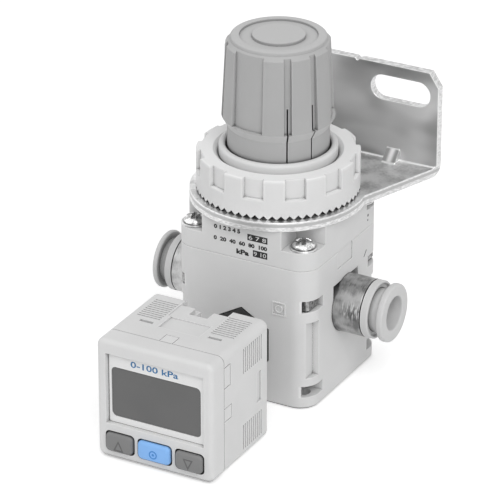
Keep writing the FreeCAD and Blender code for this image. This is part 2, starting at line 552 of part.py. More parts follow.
def axis_passage():
    """The stepped passage on the body's axis, from the cap's bore up to the diaphragm's rim."""
    bore_r, ceiling = CAP_R + CAP_BORE_GAP, SEAT_Z + SEAT_RIDGE_H
    outlet_z, rod_r = SEAT_Z + SEAT_HOLE_H, VALVE_ROD_R + RUNNING
    seal_z = CHAMBER_Z - STEM_SEAL_H
    return revolve([
        (0, -OVERCUT), (bore_r, -OVERCUT), (bore_r, CAP_TOP_Z), (VALVE_CHAMBER_R, CAP_TOP_Z),
        (VALVE_CHAMBER_R, ceiling), (SEAT_HOLE_R + SEAT_RIDGE_W, ceiling),
        (SEAT_HOLE_R + SEAT_RIDGE_FLAT, SEAT_Z), (SEAT_HOLE_R, SEAT_Z), (SEAT_HOLE_R, outlet_z),
        (OUTLET_R, outlet_z), (OUTLET_R, GUIDE_Z), (rod_r, GUIDE_Z), (rod_r, seal_z),
        (STEM_SEAL_R, seal_z), (STEM_SEAL_R, CHAMBER_Z), (CHAMBER_R, CHAMBER_Z),
        (CHAMBER_R, DIAPHRAGM_Z), (BEAD_R, DIAPHRAGM_Z), (BEAD_R, SEAM_Z + OVERCUT),
        (0, SEAM_Z + OVERCUT)])


def duct_cuts():
    """Pump duct, set duct, the sensing passage to the spring's chamber, and the breather hole."""
    duct_x = -(FITTING_BORE_X + INLET_DUCT_W)
    top = INLET_DUCT_Z + INLET_DUCT_H
    half = INLET_DUCT_HALF
    sense = cylinder(SENSE_R, FITTING_Z, SEAM_Z + OVERCUT, SENSE_X, SENSE_Y)
    cross = Part.makeCylinder(SENSE_R, -SENSE_Y, V(SENSE_X, SENSE_Y, FITTING_Z), Y_AXIS)
    breather_z = (CHAMBER_Z + SEAM_Z - SIDE_RECESS_DROP) / 2 + BREATHER_R
    breather = Part.makeCylinder(BREATHER_R, HALF, V(-HALF - OVERCUT, 0, breather_z), X_AXIS)
    return [box(duct_x, -FITTING_BORE_X, -half, half, INLET_DUCT_Z, FITTING_Z),
            box(duct_x, 0, -half, half, INLET_DUCT_Z, top),
            facing_side(cylinder(OUTLET_DUCT_R, 0, FITTING_BORE_X + OVERCUT), 1, FITTING_Z),
            sense, cross, breather]


def gauge_port_cuts():
    """Hexagonal pocket in the front face, spigot bore behind it and the hole to the set side."""
    spigot_end = UNION_SPIGOT_Y0 - UNION_END_GAP
    pocket = hexagon(UNION_HEX_AF + 2 * UNION_POCKET_GAP, UNION_HEX_Y0, HALF + OVERCUT, CORNER_UP)
    bore = cylinder(UNION_SPIGOT_R + RUNNING, spigot_end, UNION_HEX_Y0)
    hole = cylinder(GAUGE_HOLE_R, 0, spigot_end)
    return [facing_front(s, PORT_Z) for s in (pocket, bore, hole)]


def body():
    """Square body with corner slots, two fitting bores, the valve's passage and the gauge port."""
    block = rounded_block(BODY_SIDE, BODY_SIDE, 0, SEAM_Z, BODY_CORNER_R)
    block = chamfer(block, BODY_FOOT_BREAK, lies_at("Z", 0))
    block = chamfer(block, SEAM_BREAK, lies_at("Z", SEAM_Z))
    return block.cut(corner_cuts() + fitting_cuts() + duct_cuts() + gauge_port_cuts() + [axis_passage()])


def neck_and_tower():
    """Threaded neck with a rounded rim, the floor inside it, and the tower with its catch groove."""
    rim_r = NECK_WALL / 2
    rim_z, root_z = NECK_TOP_Z - rim_r, SHOULDER_Z - OVERCUT
    neck = revolve([(0, root_z), (NECK_R, root_z), (NECK_R, rim_z), (NECK_INNER_R, rim_z),
                    (NECK_INNER_R, NECK_FLOOR_Z), (0, NECK_FLOOR_Z)])
    rim = Part.makeTorus(NECK_R - rim_r, rim_r, V(0, 0, rim_z))
    tower = fillet(cylinder(TOWER_R, NECK_FLOOR_Z - OVERCUT, TOWER_TOP_Z), TOWER_EDGE_R,
                   lies_at("Z", TOWER_TOP_Z))
    catch = tube(TOWER_R + OVERCUT, CATCH_R, CATCH_Z, CATCH_TOP_Z)
    return [neck, rim, tower.cut(catch)]


def bonnet():
    """Square bonnet with screw pockets, the neck, and the tower that guides the spring nut."""
    block = rounded_block(BODY_SIDE, BODY_SIDE, SEAM_Z, SHOULDER_Z, BODY_CORNER_R)
    block = chamfer(block, SEAM_BREAK, lies_at("Z", SEAM_Z))
    out, wall = HALF + OVERCUT, HALF - POCKET_SIDE
    cuts = corner_boxes(wall, out, wall, out, POCKET_FLOOR_Z, SHOULDER_Z)
    cuts += corner_cylinders(SCREW_HOLE_R, SEAM_Z - OVERCUT, POCKET_FLOOR_Z + OVERCUT)
    slot = box(0, math.hypot(SENSE_X, SENSE_Y) + SENSE_R, -SENSE_R, SENSE_R, SEAM_Z - OVERCUT,
               SEAM_Z + 2 * SENSE_R)
    cuts += [cylinder(CHAMBER_R, SEAM_Z - OVERCUT, PLATE_SPACE_Z),
             hexagon(TOWER_HEX_AF, PLATE_SPACE_Z - OVERCUT, TOWER_CEILING_Z),
             cylinder(SPINDLE_R + RUNNING, TOWER_CEILING_Z - OVERCUT, TOWER_TOP_Z + OVERCUT),
             turned(slot, math.degrees(math.atan2(SENSE_Y, SENSE_X)))]
    return fuse_all([block] + neck_and_tower()).cut(cuts)


# Corner screws

def pan_head(x, y, seat):
    """Domed screw head: an upright edge below, and part of a ball above it."""
    rise = SCREW_HEAD_H - SCREW_HEAD_EDGE
    ball_r = (SCREW_HEAD_R ** 2 + rise ** 2) / (2 * rise)
    ball = Part.makeSphere(ball_r, V(x, y, seat + SCREW_HEAD_H - ball_r))
    return cylinder(SCREW_HEAD_R, seat, seat + SCREW_HEAD_H, x, y).common(ball)


def bonnet_screws():
    """Four pan head screws with cross recesses."""
    screws = []
    seat = POCKET_FLOOR_Z + WASHER_T
    top = seat + SCREW_HEAD_H
    for sx, sy in CORNERS:
        x, y = sx * SCREW_OFFSET, sy * SCREW_OFFSET
        screw = pan_head(x, y, seat).fuse(cylinder(SCREW_R, SCREW_TIP_Z, seat + SCREW_HEAD_EDGE, x, y))
        cross = [box(x - w / 2, x + w / 2, y - d / 2, y + d / 2, top - CROSS_DEPTH, top + OVERCUT)
                 for w, d in ((CROSS_SPAN, CROSS_W), (CROSS_W, CROSS_SPAN))]
        screws.append(screw.cut(cross))
    return Part.makeCompound(screws)


def screw_washers():
    """Four plain washers on the floors of the pockets."""
    z0, z1 = POCKET_FLOOR_Z, POCKET_FLOOR_Z + WASHER_T
    holes = corner_cylinders(SCREW_HOLE_R, z0 - OVERCUT, z1 + OVERCUT)
    discs = corner_cylinders(WASHER_R, z0, z1)
    return Part.makeCompound([disc.cut(hole) for disc, hole in zip(discs, holes)])


def square_nuts():
    """Four square nuts with bevelled corners, drawn up against the slots' ceilings."""
    half, z0 = NUT_SIDE / 2, NUT_SLOT_TOP_Z - NUT_T
    low, high = SCREW_OFFSET - half, SCREW_OFFSET + half
    blocks = [chamfer(block, NUT_CORNER, is_upright)
              for block in corner_boxes(low, high, low, high, z0, NUT_SLOT_TOP_Z)]
    holes = corner_cylinders(SCREW_R + SEAT_GAP, z0 - OVERCUT, SEAM_Z)
    return Part.makeCompound([block.cut(hole) for block, hole in zip(blocks, holes)])


# Bracket and ring nut

def bracket_flat():
    """Flat part of the bracket: a disc around the neck, with sides that flare out to the bend."""
    disc = Part.Face(Part.Wire(Part.makeCircle(BRACKET_DISC_R, V(0, 0, SHOULDER_Z))))
    kink_x, flare_x = BRACKET_DISC_R - BRACKET_KINK_IN, BRACKET_HALF_W - BRACKET_FLARE_IN
    bend_y = BRACKET_WALL_Y - BEND_R
    flare = polygon([V(-kink_x, BRACKET_KINK_Y, SHOULDER_Z), V(kink_x, BRACKET_KINK_Y, SHOULDER_Z),
                     V(flare_x, bend_y, SHOULDER_Z), V(-flare_x, bend_y, SHOULDER_Z)])
    flat = disc.fuse(flare).removeSplitter().extrude(V(0, 0, SHEET_T))
    return flat.cut(cylinder(NECK_R + BRACKET_HOLE_GAP, SHOULDER_Z - OVERCUT, RING_NUT_Z + OVERCUT))


def bracket_bend():
    """A quarter of a tube along X, which widens from the flat part to the wall plate."""
    bend_y, bend_z = BRACKET_WALL_Y - BEND_R, RING_NUT_Z + BEND_R
    w, flare_x, outer_r = BRACKET_HALF_W, BRACKET_HALF_W - BRACKET_FLARE_IN, BEND_R + SHEET_T
    start, low = V(-w, bend_y, bend_z), bend_z - outer_r
    inside = Part.makeCylinder(BEND_R, 2 * w, start, X_AXIS)
    ring = Part.makeCylinder(outer_r, 2 * w, start, X_AXIS).cut(inside)
    plan = polygon([V(flare_x, bend_y, low), V(w, bend_y + outer_r, low),
                    V(-w, bend_y + outer_r, low), V(-flare_x, bend_y, low)])
    return ring.common(plan.extrude(V(0, 0, outer_r)))


def wall_cuts():
    """The two long slots and the nicks in the top edge of the wall plate."""
    cuts = []
    r, reach, through = SLOT_W / 2, (SLOT_LEN - SLOT_W) / 2, SHEET_T + 2 * OVERCUT
    y = BRACKET_WALL_Y - OVERCUT
    for side in (-1, 1):
        x = side * SLOT_X
        cuts += [Part.makeCylinder(r, through, V(x + end, y, SLOT_Z), Y_AXIS) for end in (-reach, reach)]
        cuts.append(box(x - reach, x + reach, y, y + through, SLOT_Z - r, SLOT_Z + r))
        x, z = side * NICK_X, BRACKET_TOP_Z
        nick = polygon([V(x - NICK_W / 2, y, z), V(x + NICK_W / 2, y, z), V(x, y, z - NICK_D)])
        cuts.append(nick.extrude(V(0, through, 0)))
    return cuts


def bracket_wall():
    """Wall plate with bevelled top corners, two long slots and two nicks."""
    low, top, w, y = RING_NUT_Z + BEND_R, BRACKET_TOP_Z, BRACKET_HALF_W, BRACKET_WALL_Y
    shoulder, end = top - BRACKET_CHAMFER_H, w - BRACKET_CHAMFER_W
    face = polygon([V(-w, y, low), V(w, y, low), V(w, y, shoulder), V(end, y, top),
                    V(-end, y, top), V(-w, y, shoulder)])
    return face.extrude(V(0, SHEET_T, 0)).cut(wall_cuts())


def dart(x):
    """A pressed ridge across the inside of the bend."""
    y, z = BRACKET_WALL_Y, RING_NUT_Z
    ridge = polygon([V(x - DART_W / 2, y, z), V(x - DART_W / 2, y - DART_LEG, z),
                     V(x - DART_W / 2, y, z + DART_LEG)])
    return ridge.extrude(V(DART_W, 0, 0))


def dart_dent(x):
    """The dent that pressing a dart leaves on the outside of the bend."""
    y, z = BRACKET_WALL_Y + SHEET_T, SHOULDER_Z
    leg, w = DART_LEG + DART_DENT, DART_W / 2
    dent = polygon([V(x - w, y, z - DART_DENT), V(x - w, y - leg, z - DART_DENT),
                    V(x - w, y + DART_DENT, z + leg), V(x - w, y + DART_DENT, z)])
    return dent.extrude(V(DART_W, 0, 0))


def bracket():
    """Bent sheet bracket: flat plate under the ring nut, wall plate, and darts across the bend."""
    darts = [dart(side * DART_X) for side in (-1, 1)]
    whole = fuse_all([bracket_flat(), bracket_bend(), bracket_wall()] + darts)
    return whole.cut([dart_dent(side * DART_X) for side in (-1, 1)])


def serration(degrees):
    """One V groove under the rim of the ring nut, open outwards."""
    widen = SERRATION_FILL * math.tan(math.pi / SERRATIONS)
    low, apex = RING_NUT_Z - SEAT_GAP, RING_NUT_Z + SERRATION_H
    ends = []
    for r in (RING_NUT_R - SERRATION_DEPTH, RING_NUT_R + OVERCUT):
        ends.append(Part.makePolygon([V(r, -widen * r, low), V(r, widen * r, low), V(r, 0, apex),
                                      V(r, -widen * r, low)]))
    return turned(Part.makeLoft(ends, True, True), degrees)


def ring_nut():
    """Panel nut with grip notches around its top and serrations under its rim."""
    bore_r, top = NECK_R + RING_NUT_THREAD_GAP, RING_NUT_TOP_Z
    nut = fillet(cylinder(RING_NUT_R, RING_NUT_Z, top), RING_NUT_EDGE_R, lies_at("Z", top))
    cuts = [revolve([(0, RING_NUT_Z - OVERCUT), (bore_r, RING_NUT_Z - OVERCUT),
                     (bore_r, top - RING_NUT_LEAD), (bore_r + RING_NUT_LEAD, top), (0, top)])]
    core = cylinder(RING_NUT_R - NOTCH_DEPTH, RING_NUT_Z, top + OVERCUT)
    for k in range(NOTCH_COUNT):
        middle = NOTCH_FIRST + k * 360.0 / NOTCH_COUNT
        wedge = sector(RING_NUT_R, middle - NOTCH_SPAN / 2, middle + NOTCH_SPAN / 2, top - NOTCH_H, top)
        cuts.append(wedge.cut(core))
    cuts += [serration(k * 360.0 / SERRATIONS) for k in range(SERRATIONS)]
    return nut.cut(cuts)


# Knob and adjusting screw

def group_angles():
    """Angle of the middle rib of each group, which is also the middle of a latch tab."""
    middle = RIB_FIRST + RIB_STEP * (RIBS_IN_GROUP - 1) / 2
    return [middle + k * 360.0 / RIB_GROUPS for k in range(RIB_GROUPS)]


def knob_outer():
    """Outside of the knob at the crests of its ribs, with a rounded top rim."""
    whole = revolve([
        (0, KNOB_SKIRT_Z), (KNOB_SKIRT_R, KNOB_SKIRT_Z), (KNOB_SKIRT_R, STEP_Z0), (RIB_R_LOW, STEP_Z1),
        (RIB_R_TOP, RIB_TOP_Z - KNOB_RIM_INSET), (KNOB_RIM_OUTER_R, RIB_TOP_Z),
        (KNOB_RIM_OUTER_R, KNOB_TOP_Z), (0, KNOB_TOP_Z)])
    return fillet(whole, KNOB_RIM_R, lies_at("Z", KNOB_TOP_Z))


def knob_recesses():
    """The gaps between the ribs, sunk to a slimmer cone: a wide one follows the last of each group."""
    low_r, top_r = RIB_R_LOW - RIB_DEPTH_LOW, RIB_R_TOP - RIB_DEPTH_TOP
    core = revolve([(0, STEP_Z1 - OVERCUT), (low_r, STEP_Z1 - OVERCUT), (low_r, STEP_Z1),
                    (top_r, RIB_TOP_Z), (top_r, KNOB_TOP_Z), (0, KNOB_TOP_Z)])
    cuts = []
    for k in range(RIB_GROUPS * RIBS_IN_GROUP):
        group, place = divmod(k, RIBS_IN_GROUP)
        start = RIB_FIRST + group * 360.0 / RIB_GROUPS + place * RIB_STEP + RIB_SPAN / 2
        pitch = RIB_STEP if place < RIBS_IN_GROUP - 1 else 360.0 / RIB_GROUPS - place * RIB_STEP
        cuts.append(sector(RIB_R_LOW, start, start + pitch - RIB_SPAN, STEP_Z1, RIB_TOP_Z).cut(core))
    return cuts


def knob_hollow():
    """Space inside the knob: plain below, and around the hub and its webs above."""
    upper_r = min(KNOB_INNER_R, KNOB_RIM_OUTER_R - KNOB_WALL)
    upper = tube(upper_r, KNOB_HUB_R, KNOB_HUB_Z - SEAT_GAP, KNOB_ROOF_Z)
    webs = []
    for k in range(KNOB_WEBS):
        web = box(0, KNOB_SKIRT_R, -KNOB_WEB_T / 2, KNOB_WEB_T / 2, KNOB_HUB_Z, KNOB_ROOF_Z)
        webs.append(turned(web, RIB_FIRST + k * 360.0 / KNOB_WEBS))
    return [cylinder(KNOB_INNER_R, KNOB_SKIRT_Z - OVERCUT, KNOB_HUB_Z), upper.cut(webs)]


def knob_slits():
    """Two slits beside the middle rib of each group, which free a springy latch tab."""
    slits = []
    for middle in group_angles():
        for side in (-1, 1):
            slit = box(CATCH_R, RIB_R_LOW + OVERCUT, -LATCH_SLIT_W / 2, LATCH_SLIT_W / 2,
                       KNOB_SKIRT_Z - OVERCUT, KNOB_TOP_Z - LATCH_SLIT_DROP)
            slits.append(turned(slit, middle + side * RIB_STEP / 2))
    return slits


def knob_hooks():
    """A hook inside each latch tab, which rides in the tower's catch groove."""
    hook_r, root_r, top = CATCH_R + HOOK_GAP, (KNOB_INNER_R + KNOB_SKIRT_R) / 2, HOOK_Z + HOOK_H
    ring = revolve([(root_r, HOOK_Z), (hook_r, HOOK_Z), (hook_r, HOOK_Z + HOOK_H / 2),
                    (KNOB_INNER_R, top), (root_r, top)])
    half = RIB_STEP / 2 - HOOK_LAND
    return [ring.common(sector(root_r, a - half, a + half, HOOK_Z, top)) for a in group_angles()]


def knob():
    """Ribbed knob with springy latch tabs, a dished top and a hexagonal socket in its hub."""
    cuts = knob_recesses() + knob_hollow()
    cuts.append(tube(DISH_R, MEDAL_R, KNOB_TOP_Z - DISH_DEPTH, KNOB_TOP_Z + OVERCUT))
    cuts.append(hexagon(DRIVE_HEX_AF + 2 * SLIDING, KNOB_HUB_Z - OVERCUT, DRIVE_TOP_Z + SOCKET_TOP_GAP))
    medal = cylinder(MEDAL_R, KNOB_TOP_Z - DISH_DEPTH, KNOB_TOP_Z + MEDAL_PROUD)
    return knob_outer().cut(cuts).fuse([medal] + knob_hooks()).cut(knob_slits())


def spindle_groove():
    """Heights of the groove for the adjusting screw's seal ring."""
    z0 = TOWER_CEILING_Z + SPINDLE_GROOVE_Z
    return z0, z0 + SPINDLE_GROOVE_H


def adjusting_screw():
    """Hexagonal drive above, sealed neck in the tower's roof, collar, and the screw's thread."""
    clip_r, seal_r = SPINDLE_R - CLIP_GROOVE_DEPTH, SPINDLE_R - SPINDLE_GROOVE_DEPTH
    bottom, (seal_z0, seal_z1) = SPINDLE_Z, spindle_groove()
    shaft = revolve([
        (0, bottom), (SPINDLE_THREAD_R - SPINDLE_TIP_BREAK, bottom),
        (SPINDLE_THREAD_R, bottom + SPINDLE_TIP_BREAK), (SPINDLE_THREAD_R, COLLAR_BOTTOM_Z),
        (SPINDLE_COLLAR_R, COLLAR_BOTTOM_Z), (SPINDLE_COLLAR_R, COLLAR_TOP_Z), (SPINDLE_R, COLLAR_TOP_Z),
        (SPINDLE_R, seal_z0), (seal_r, seal_z0), (seal_r, seal_z1), (SPINDLE_R, seal_z1),
        (SPINDLE_R, CLIP_Z), (clip_r, CLIP_Z), (clip_r, DRIVE_Z), (0, DRIVE_Z)])
    crown = revolve([(0, DRIVE_Z), (DRIVE_HEX_AF, DRIVE_Z), (DRIVE_HEX_AF, DRIVE_TOP_Z - DRIVE_CROWN_H),
                     (DRIVE_HEX_AF / 2, DRIVE_TOP_Z), (0, DRIVE_TOP_Z)])
    return fuse_all([shaft, hexagon(DRIVE_HEX_AF, DRIVE_Z, DRIVE_TOP_Z).common(crown)])


def spindle_oring():
    """Seal ring between the adjusting screw's neck and the tower's roof."""
    return ring_seal(SPINDLE_R - SPINDLE_GROOVE_DEPTH, SPINDLE_R + RUNNING, *spindle_groove())


def thrust_washer():
    """Washer between the screw's collar and the roof of the tower."""
    return tube(SPINDLE_COLLAR_R, SPINDLE_R + RUNNING, COLLAR_TOP_Z, TOWER_CEILING_Z)


def retaining_clip():
    """Open clip in the groove above the tower."""
    clip = tube(CLIP_R, SPINDLE_R - CLIP_GROOVE_DEPTH + SEAT_GAP, CLIP_Z, DRIVE_Z)
    return clip.cut(box(0, CLIP_R, -CLIP_OPENING / 2, CLIP_OPENING / 2, CLIP_Z, DRIVE_Z))


def spring_nut():
    """Hexagonal nut that slides in the tower without turning, with a spigot for the spring."""
    spigot = chamfer(cylinder(PILOT_R, PILOT_Z, SPRING_NUT_TOP_Z), PILOT_BREAK, lies_at("Z", PILOT_Z))
    bore = cylinder(SPINDLE_THREAD_R + RUNNING, PILOT_Z - OVERCUT, SPRING_NUT_TOP_Z + OVERCUT)
    return fuse_all([hexagon(NUT_HEX_AF, SPRING_NUT_Z, SPRING_NUT_TOP_Z), spigot]).cut(bore)


def setting_spring():
    """Compression spring between the nut and the diaphragm's upper plate."""
    return coil(SPRING_R, SPRING_WIRE_R, PLATE_TOP_Z, SPRING_NUT_Z, SPRING_TURNS)


# Diaphragm and valve

def diaphragm():
    """Rubber diaphragm: clamped rim, one fold, a flat middle, and a hole for the sensing passage."""
    z0, z1, low, t = DIAPHRAGM_Z, SEAM_Z, DIAPHRAGM_Z - FOLD_H, DIAPHRAGM_T
    hole_r, rim_r = STUD_R + DIAPHRAGM_HOLE_GAP, BEAD_R - SEAT_GAP
    r0, r1, flat = CHAMBER_R - FOLD_IN, CHAMBER_R - FOLD_OUT, FOLD_FLAT
    middle = (r0 + r1) / 2
    sheet = revolve([
        (hole_r, z0), (r0, z0), (middle - flat, low), (middle + flat, low), (r1, z0), (rim_r, z0),
        (rim_r, z1), (r1 - flat, z1), (middle, low + t), (r0 + flat, z1), (hole_r, z1)])
    return sheet.cut(cylinder(SENSE_R, z0 - OVERCUT, z1 + OVERCUT, SENSE_X, SENSE_Y))


def upper_plate():
    """Plate on the diaphragm, with a rim that centres the spring."""
    inner = SPRING_R + SPRING_WIRE_R + SLIDING
    rim = tube(inner + SPRING_CUP_WALL, inner, SEAM_Z, PLATE_TOP_Z + SPRING_CUP_H)
    return fuse_all([tube(CHAMBER_R - UPPER_PLATE_IN, STUD_R + RUNNING, SEAM_Z, PLATE_TOP_Z), rim])


def lower_plate():
    """Plain plate under the diaphragm."""
    return tube(CHAMBER_R - LOWER_PLATE_IN, STUD_R + RUNNING, STUD_HEAD_TOP_Z, DIAPHRAGM_Z)


def diaphragm_stud():
    """Riveted stud that clamps both plates, with a recess for the rubber pad in its head."""
    pad_top, rivet_top = STUD_HEAD_Z + PAD_T, PLATE_TOP_Z + STUD_RIVET_H
    return revolve([
        (0, pad_top), (PAD_R, pad_top), (PAD_R, STUD_HEAD_Z), (STUD_HEAD_R, STUD_HEAD_Z),
        (STUD_HEAD_R, STUD_HEAD_TOP_Z), (STUD_R, STUD_HEAD_TOP_Z), (STUD_R, PLATE_TOP_Z),
        (STUD_RIVET_R, PLATE_TOP_Z), (STUD_R, rivet_top), (0, rivet_top)])


def relief_pad():
    """Rubber pad that closes the hollow rod until the diaphragm rises off it."""
    return cylinder(PAD_R - SEAT_GAP, STUD_HEAD_Z, STUD_HEAD_Z + PAD_T)


def main_valve():
    """Poppet: guide stem, head that carries the seal, and the hollow rod up to the diaphragm."""
    bottom, top = VALVE_FOOT_Z, STUD_HEAD_Z - SEAT_GAP
    r, tip = VALVE_ROD_R, VALVE_ROD_R - VALVE_ROD_LIP
    poppet = revolve([
        (0, bottom), (tip, bottom), (r, bottom + VALVE_ROD_LIP), (r, VALVE_HEAD_Z),
        (VALVE_HEAD_R, VALVE_HEAD_Z), (VALVE_HEAD_R, VALVE_SEAL_Z), (r, VALVE_SEAL_Z),
        (r, top - VALVE_ROD_LIP), (tip, top), (0, top)])
    bore = cylinder(VALVE_ROD_BORE_R, VALVE_VENT_Z, top + OVERCUT)
    cross = Part.makeCylinder(VALVE_ROD_BORE_R, 2 * (r + OVERCUT), V(-r - OVERCUT, 0, VALVE_VENT_Z), X_AXIS)
    return poppet.cut([bore, cross])


def valve_seal():
    """Rubber washer on the valve's head, which meets the seat in the body."""
    return tube(VALVE_SEAL_R, VALVE_ROD_R + SEAT_GAP, VALVE_SEAL_Z, VALVE_SEAL_Z + VALVE_SEAL_T)


def stem_seal():
    """Rubber ring that seals the rod where it enters the diaphragm's chamber."""
    return tube(STEM_SEAL_R - SEAT_GAP, VALVE_ROD_R + SEAT_GAP, CHAMBER_Z - STEM_SEAL_H, CHAMBER_Z)


def valve_spring():
    """Light spring that closes the valve, between the cap and the valve's head."""
    return coil(VALVE_SPRING_R, VALVE_SPRING_WIRE_R, CAP_H, VALVE_HEAD_Z, VALVE_SPRING_TURNS)


def bottom_cap():
    """Cap that closes the valve's chamber, with a seal groove, the stem's guide and two key holes."""
    groove_r, groove_top = CAP_R - CAP_GROOVE_DEPTH, CAP_GROOVE_Z + CAP_GROOVE_H
    bore_r, guide_top = VALVE_ROD_R + RUNNING, CAP_H + CAP_GUIDE_H
    cap = revolve([
        (0, 0), (CAP_R, 0), (CAP_R, CAP_GROOVE_Z), (groove_r, CAP_GROOVE_Z), (groove_r, groove_top),
        (CAP_R, groove_top), (CAP_R, CAP_H), (CAP_GUIDE_R, CAP_H), (CAP_GUIDE_R, guide_top),
        (bore_r, guide_top), (bore_r, CAP_GUIDE_FLOOR_Z), (0, CAP_GUIDE_FLOOR_Z)])
    return cap.cut([cylinder(CAP_KEY_HOLE_R, -OVERCUT, CAP_KEY_HOLE_D, side * CAP_KEY_HOLE_X)
                    for side in (-1, 1)])


def cap_oring():
    """Seal ring between the cap and the body."""
    return ring_seal(CAP_R - CAP_GROOVE_DEPTH, CAP_R + CAP_BORE_GAP, CAP_GROOVE_Z,
                     CAP_GROOVE_Z + CAP_GROOVE_H)


# Push-in fittings, drawn upright with Z measured outward from the middle of the body

def ring_groove():
    """Distances of the sleeve's seal groove."""
    x0 = SLEEVE_X0 + RING_GROOVE_X
    return x0, x0 + RING_GROOVE_W


def fitting_sleeve():
    """Nickel-plated sleeve with a tube stop and a groove for its seal ring."""
    groove_r, (x0, x1) = SLEEVE_R - RING_GROOVE_DEPTH, ring_groove()
    return revolve([
        (FLOW_R, SLEEVE_X0), (SLEEVE_R - SLEEVE_BREAK, SLEEVE_X0), (SLEEVE_R, SLEEVE_X0 + SLEEVE_BREAK),
        (SLEEVE_R, x0), (groove_r, x0), (groove_r, x1), (SLEEVE_R, x1), (SLEEVE_R, SLEEVE_X1),
        (MOUTH_R, SLEEVE_X1), (MOUTH_R, HALF), (TUBE_R, HALF), (TUBE_R, TUBE_STOP_X),
        (FLOW_R, TUBE_STOP_X)])


def fitting_oring():
    """Seal ring between the sleeve and the body."""
    return ring_seal(SLEEVE_R - RING_GROOVE_DEPTH, FITTING_BORE_R, *ring_groove())


def tube_seal():
    """Lip seal that closes on the tube."""
    outer, web, z1 = MOUTH_R - SEAT_GAP, HALF + LIP_SEAL_WEB, HALF + LIP_SEAL_T
    return revolve([
        (TUBE_R, HALF), (outer, HALF), (outer, z1), (outer - LIP_SEAL_OUTER, z1),
        ((outer + TUBE_R) / 2, web), (TUBE_R + LIP_SEAL_INNER, z1), (TUBE_R, z1)])


def tube_chuck():
    """Slotted steel ring whose teeth hold the tube."""
    z0, outer = HALF + LIP_SEAL_T + CHUCK_GAP, MOUTH_R - SLIDING
    z1 = z0 + CHUCK_T
    ring = revolve([(outer - CHUCK_RIM, z0), (outer, z0), (outer, (z0 + z1) / 2),
                    (TUBE_R + CHUCK_SLOT_W, z1), (TUBE_R, z1 - CHUCK_SLOT_W)])
    slots = [turned(box(0, outer - CHUCK_RIM, -CHUCK_SLOT_W / 2, CHUCK_SLOT_W / 2, z0, z1),
                    k * 360.0 / CHUCK_SLOTS) for k in range(CHUCK_SLOTS)]
    return ring.cut(slots)


def fitting_collar():
    """Resin collar pressed into the sleeve, with a dished front and a step that holds the button."""
    bore_r, rim_r, floor = RELEASE_R + SLIDING, SLEEVE_R - COLLAR_RIM_W, COLLAR_X1 - COLLAR_DISH
    spigot_r = MOUTH_R - SEAT_GAP
    return revolve([
        (COLLAR_INNER_R, COLLAR_X0), (spigot_r, COLLAR_X0), (spigot_r, COLLAR_FLANGE_X),
        (SLEEVE_R, COLLAR_FLANGE_X), (SLEEVE_R, COLLAR_X1 - COLLAR_BREAK),
        (SLEEVE_R - COLLAR_BREAK, COLLAR_X1),
        (rim_r, COLLAR_X1), (rim_r - COLLAR_BREAK, floor), (bore_r, floor), (bore_r, COLLAR_STEP_X),
        (COLLAR_INNER_R, COLLAR_STEP_X)])


def release_button():
    """Sleeve that is pressed to free the tube: inner lip, barrel and a rounded outer flange."""
    lip_x1 = COLLAR_STEP_X - SLIDING
    lip_x0, flange_r = lip_x1 - RELEASE_LIP_L, SLEEVE_R + RELEASE_FLANGE_PROUD
    button = revolve([
        (TUBE_R, lip_x0), (RELEASE_R, lip_x0), (RELEASE_LIP_R, lip_x0 + RELEASE_LIP),
        (RELEASE_LIP_R, lip_x1),
        (RELEASE_R, lip_x1), (RELEASE_R, RELEASE_FLANGE_X), (flange_r, RELEASE_FLANGE_X),
        (flange_r, RELEASE_X1), (TUBE_R, RELEASE_X1)])
    return fillet(button, RELEASE_FLANGE_EDGE, is_ring(flange_r))


# Union to the pressure switch, drawn upright with Z measured forward from the middle of the body

def union_groove():
    """Distances of the union's seal groove."""
    z0 = UNION_SPIGOT_Y0 + UNION_GROOVE_Z
    return z0, z0 + UNION_GROOVE_H


def switch_union():
    """Black union: spigot in the body, hexagon in its pocket, neck and a threaded end."""
    start, r, end = UNION_SPIGOT_Y0, UNION_SPIGOT_R, UNION_FACE + UNION_THREAD_L
    groove_r, (z0, z1) = UNION_SPIGOT_R - UNION_GROOVE_DEPTH, union_groove()
    shaft = revolve([
        (0, start), (r - UNION_BREAK, start), (r, start + UNION_BREAK), (r, z0), (groove_r, z0),
        (groove_r, z1), (r, z1), (r, HALF), (UNION_NECK_R, HALF), (UNION_NECK_R, UNION_FACE),
        (UNION_THREAD_R, UNION_FACE), (UNION_THREAD_R, end), (0, end)])
    nut = hexagon(UNION_HEX_AF, UNION_HEX_Y0, HALF + UNION_PROUD, CORNER_UP)
    bore = cylinder(UNION_BORE_R, start - OVERCUT, end + OVERCUT)
    return facing_front(fuse_all([shaft, nut]).cut(bore), PORT_Z)


def union_oring():
    """Seal ring between the union's spigot and the body."""
    return facing_front(ring_seal(UNION_SPIGOT_R - UNION_GROOVE_DEPTH, UNION_SPIGOT_R + RUNNING,
                                  *union_groove()), PORT_Z)


def port_gasket():
    """Flat gasket between the union's neck and the switch's port."""
    return facing_front(tube(GASKET_R, UNION_THREAD_R + SLIDING, UNION_FACE, PORT_FACE), PORT_Z)


def switch_port():
    """Metal pressure port: hexagonal flange behind the case and a stem through its wall."""
    flange = hexagon(PORT_HEX_AF, PORT_FACE, SWITCH_BACK, CORNER_UP)
    stem = cylinder(PORT_STEM_R, PORT_FACE, SENSOR_BACK)
    thread = cylinder(UNION_THREAD_R + SEAT_GAP, PORT_FACE - OVERCUT, PORT_FACE + UNION_THREAD_L)
    hole = cylinder(UNION_BORE_R, PORT_FACE, SENSOR_BACK + OVERCUT)
    return facing_front(fuse_all([flange, stem]).cut([thread, hole]), PORT_Z)


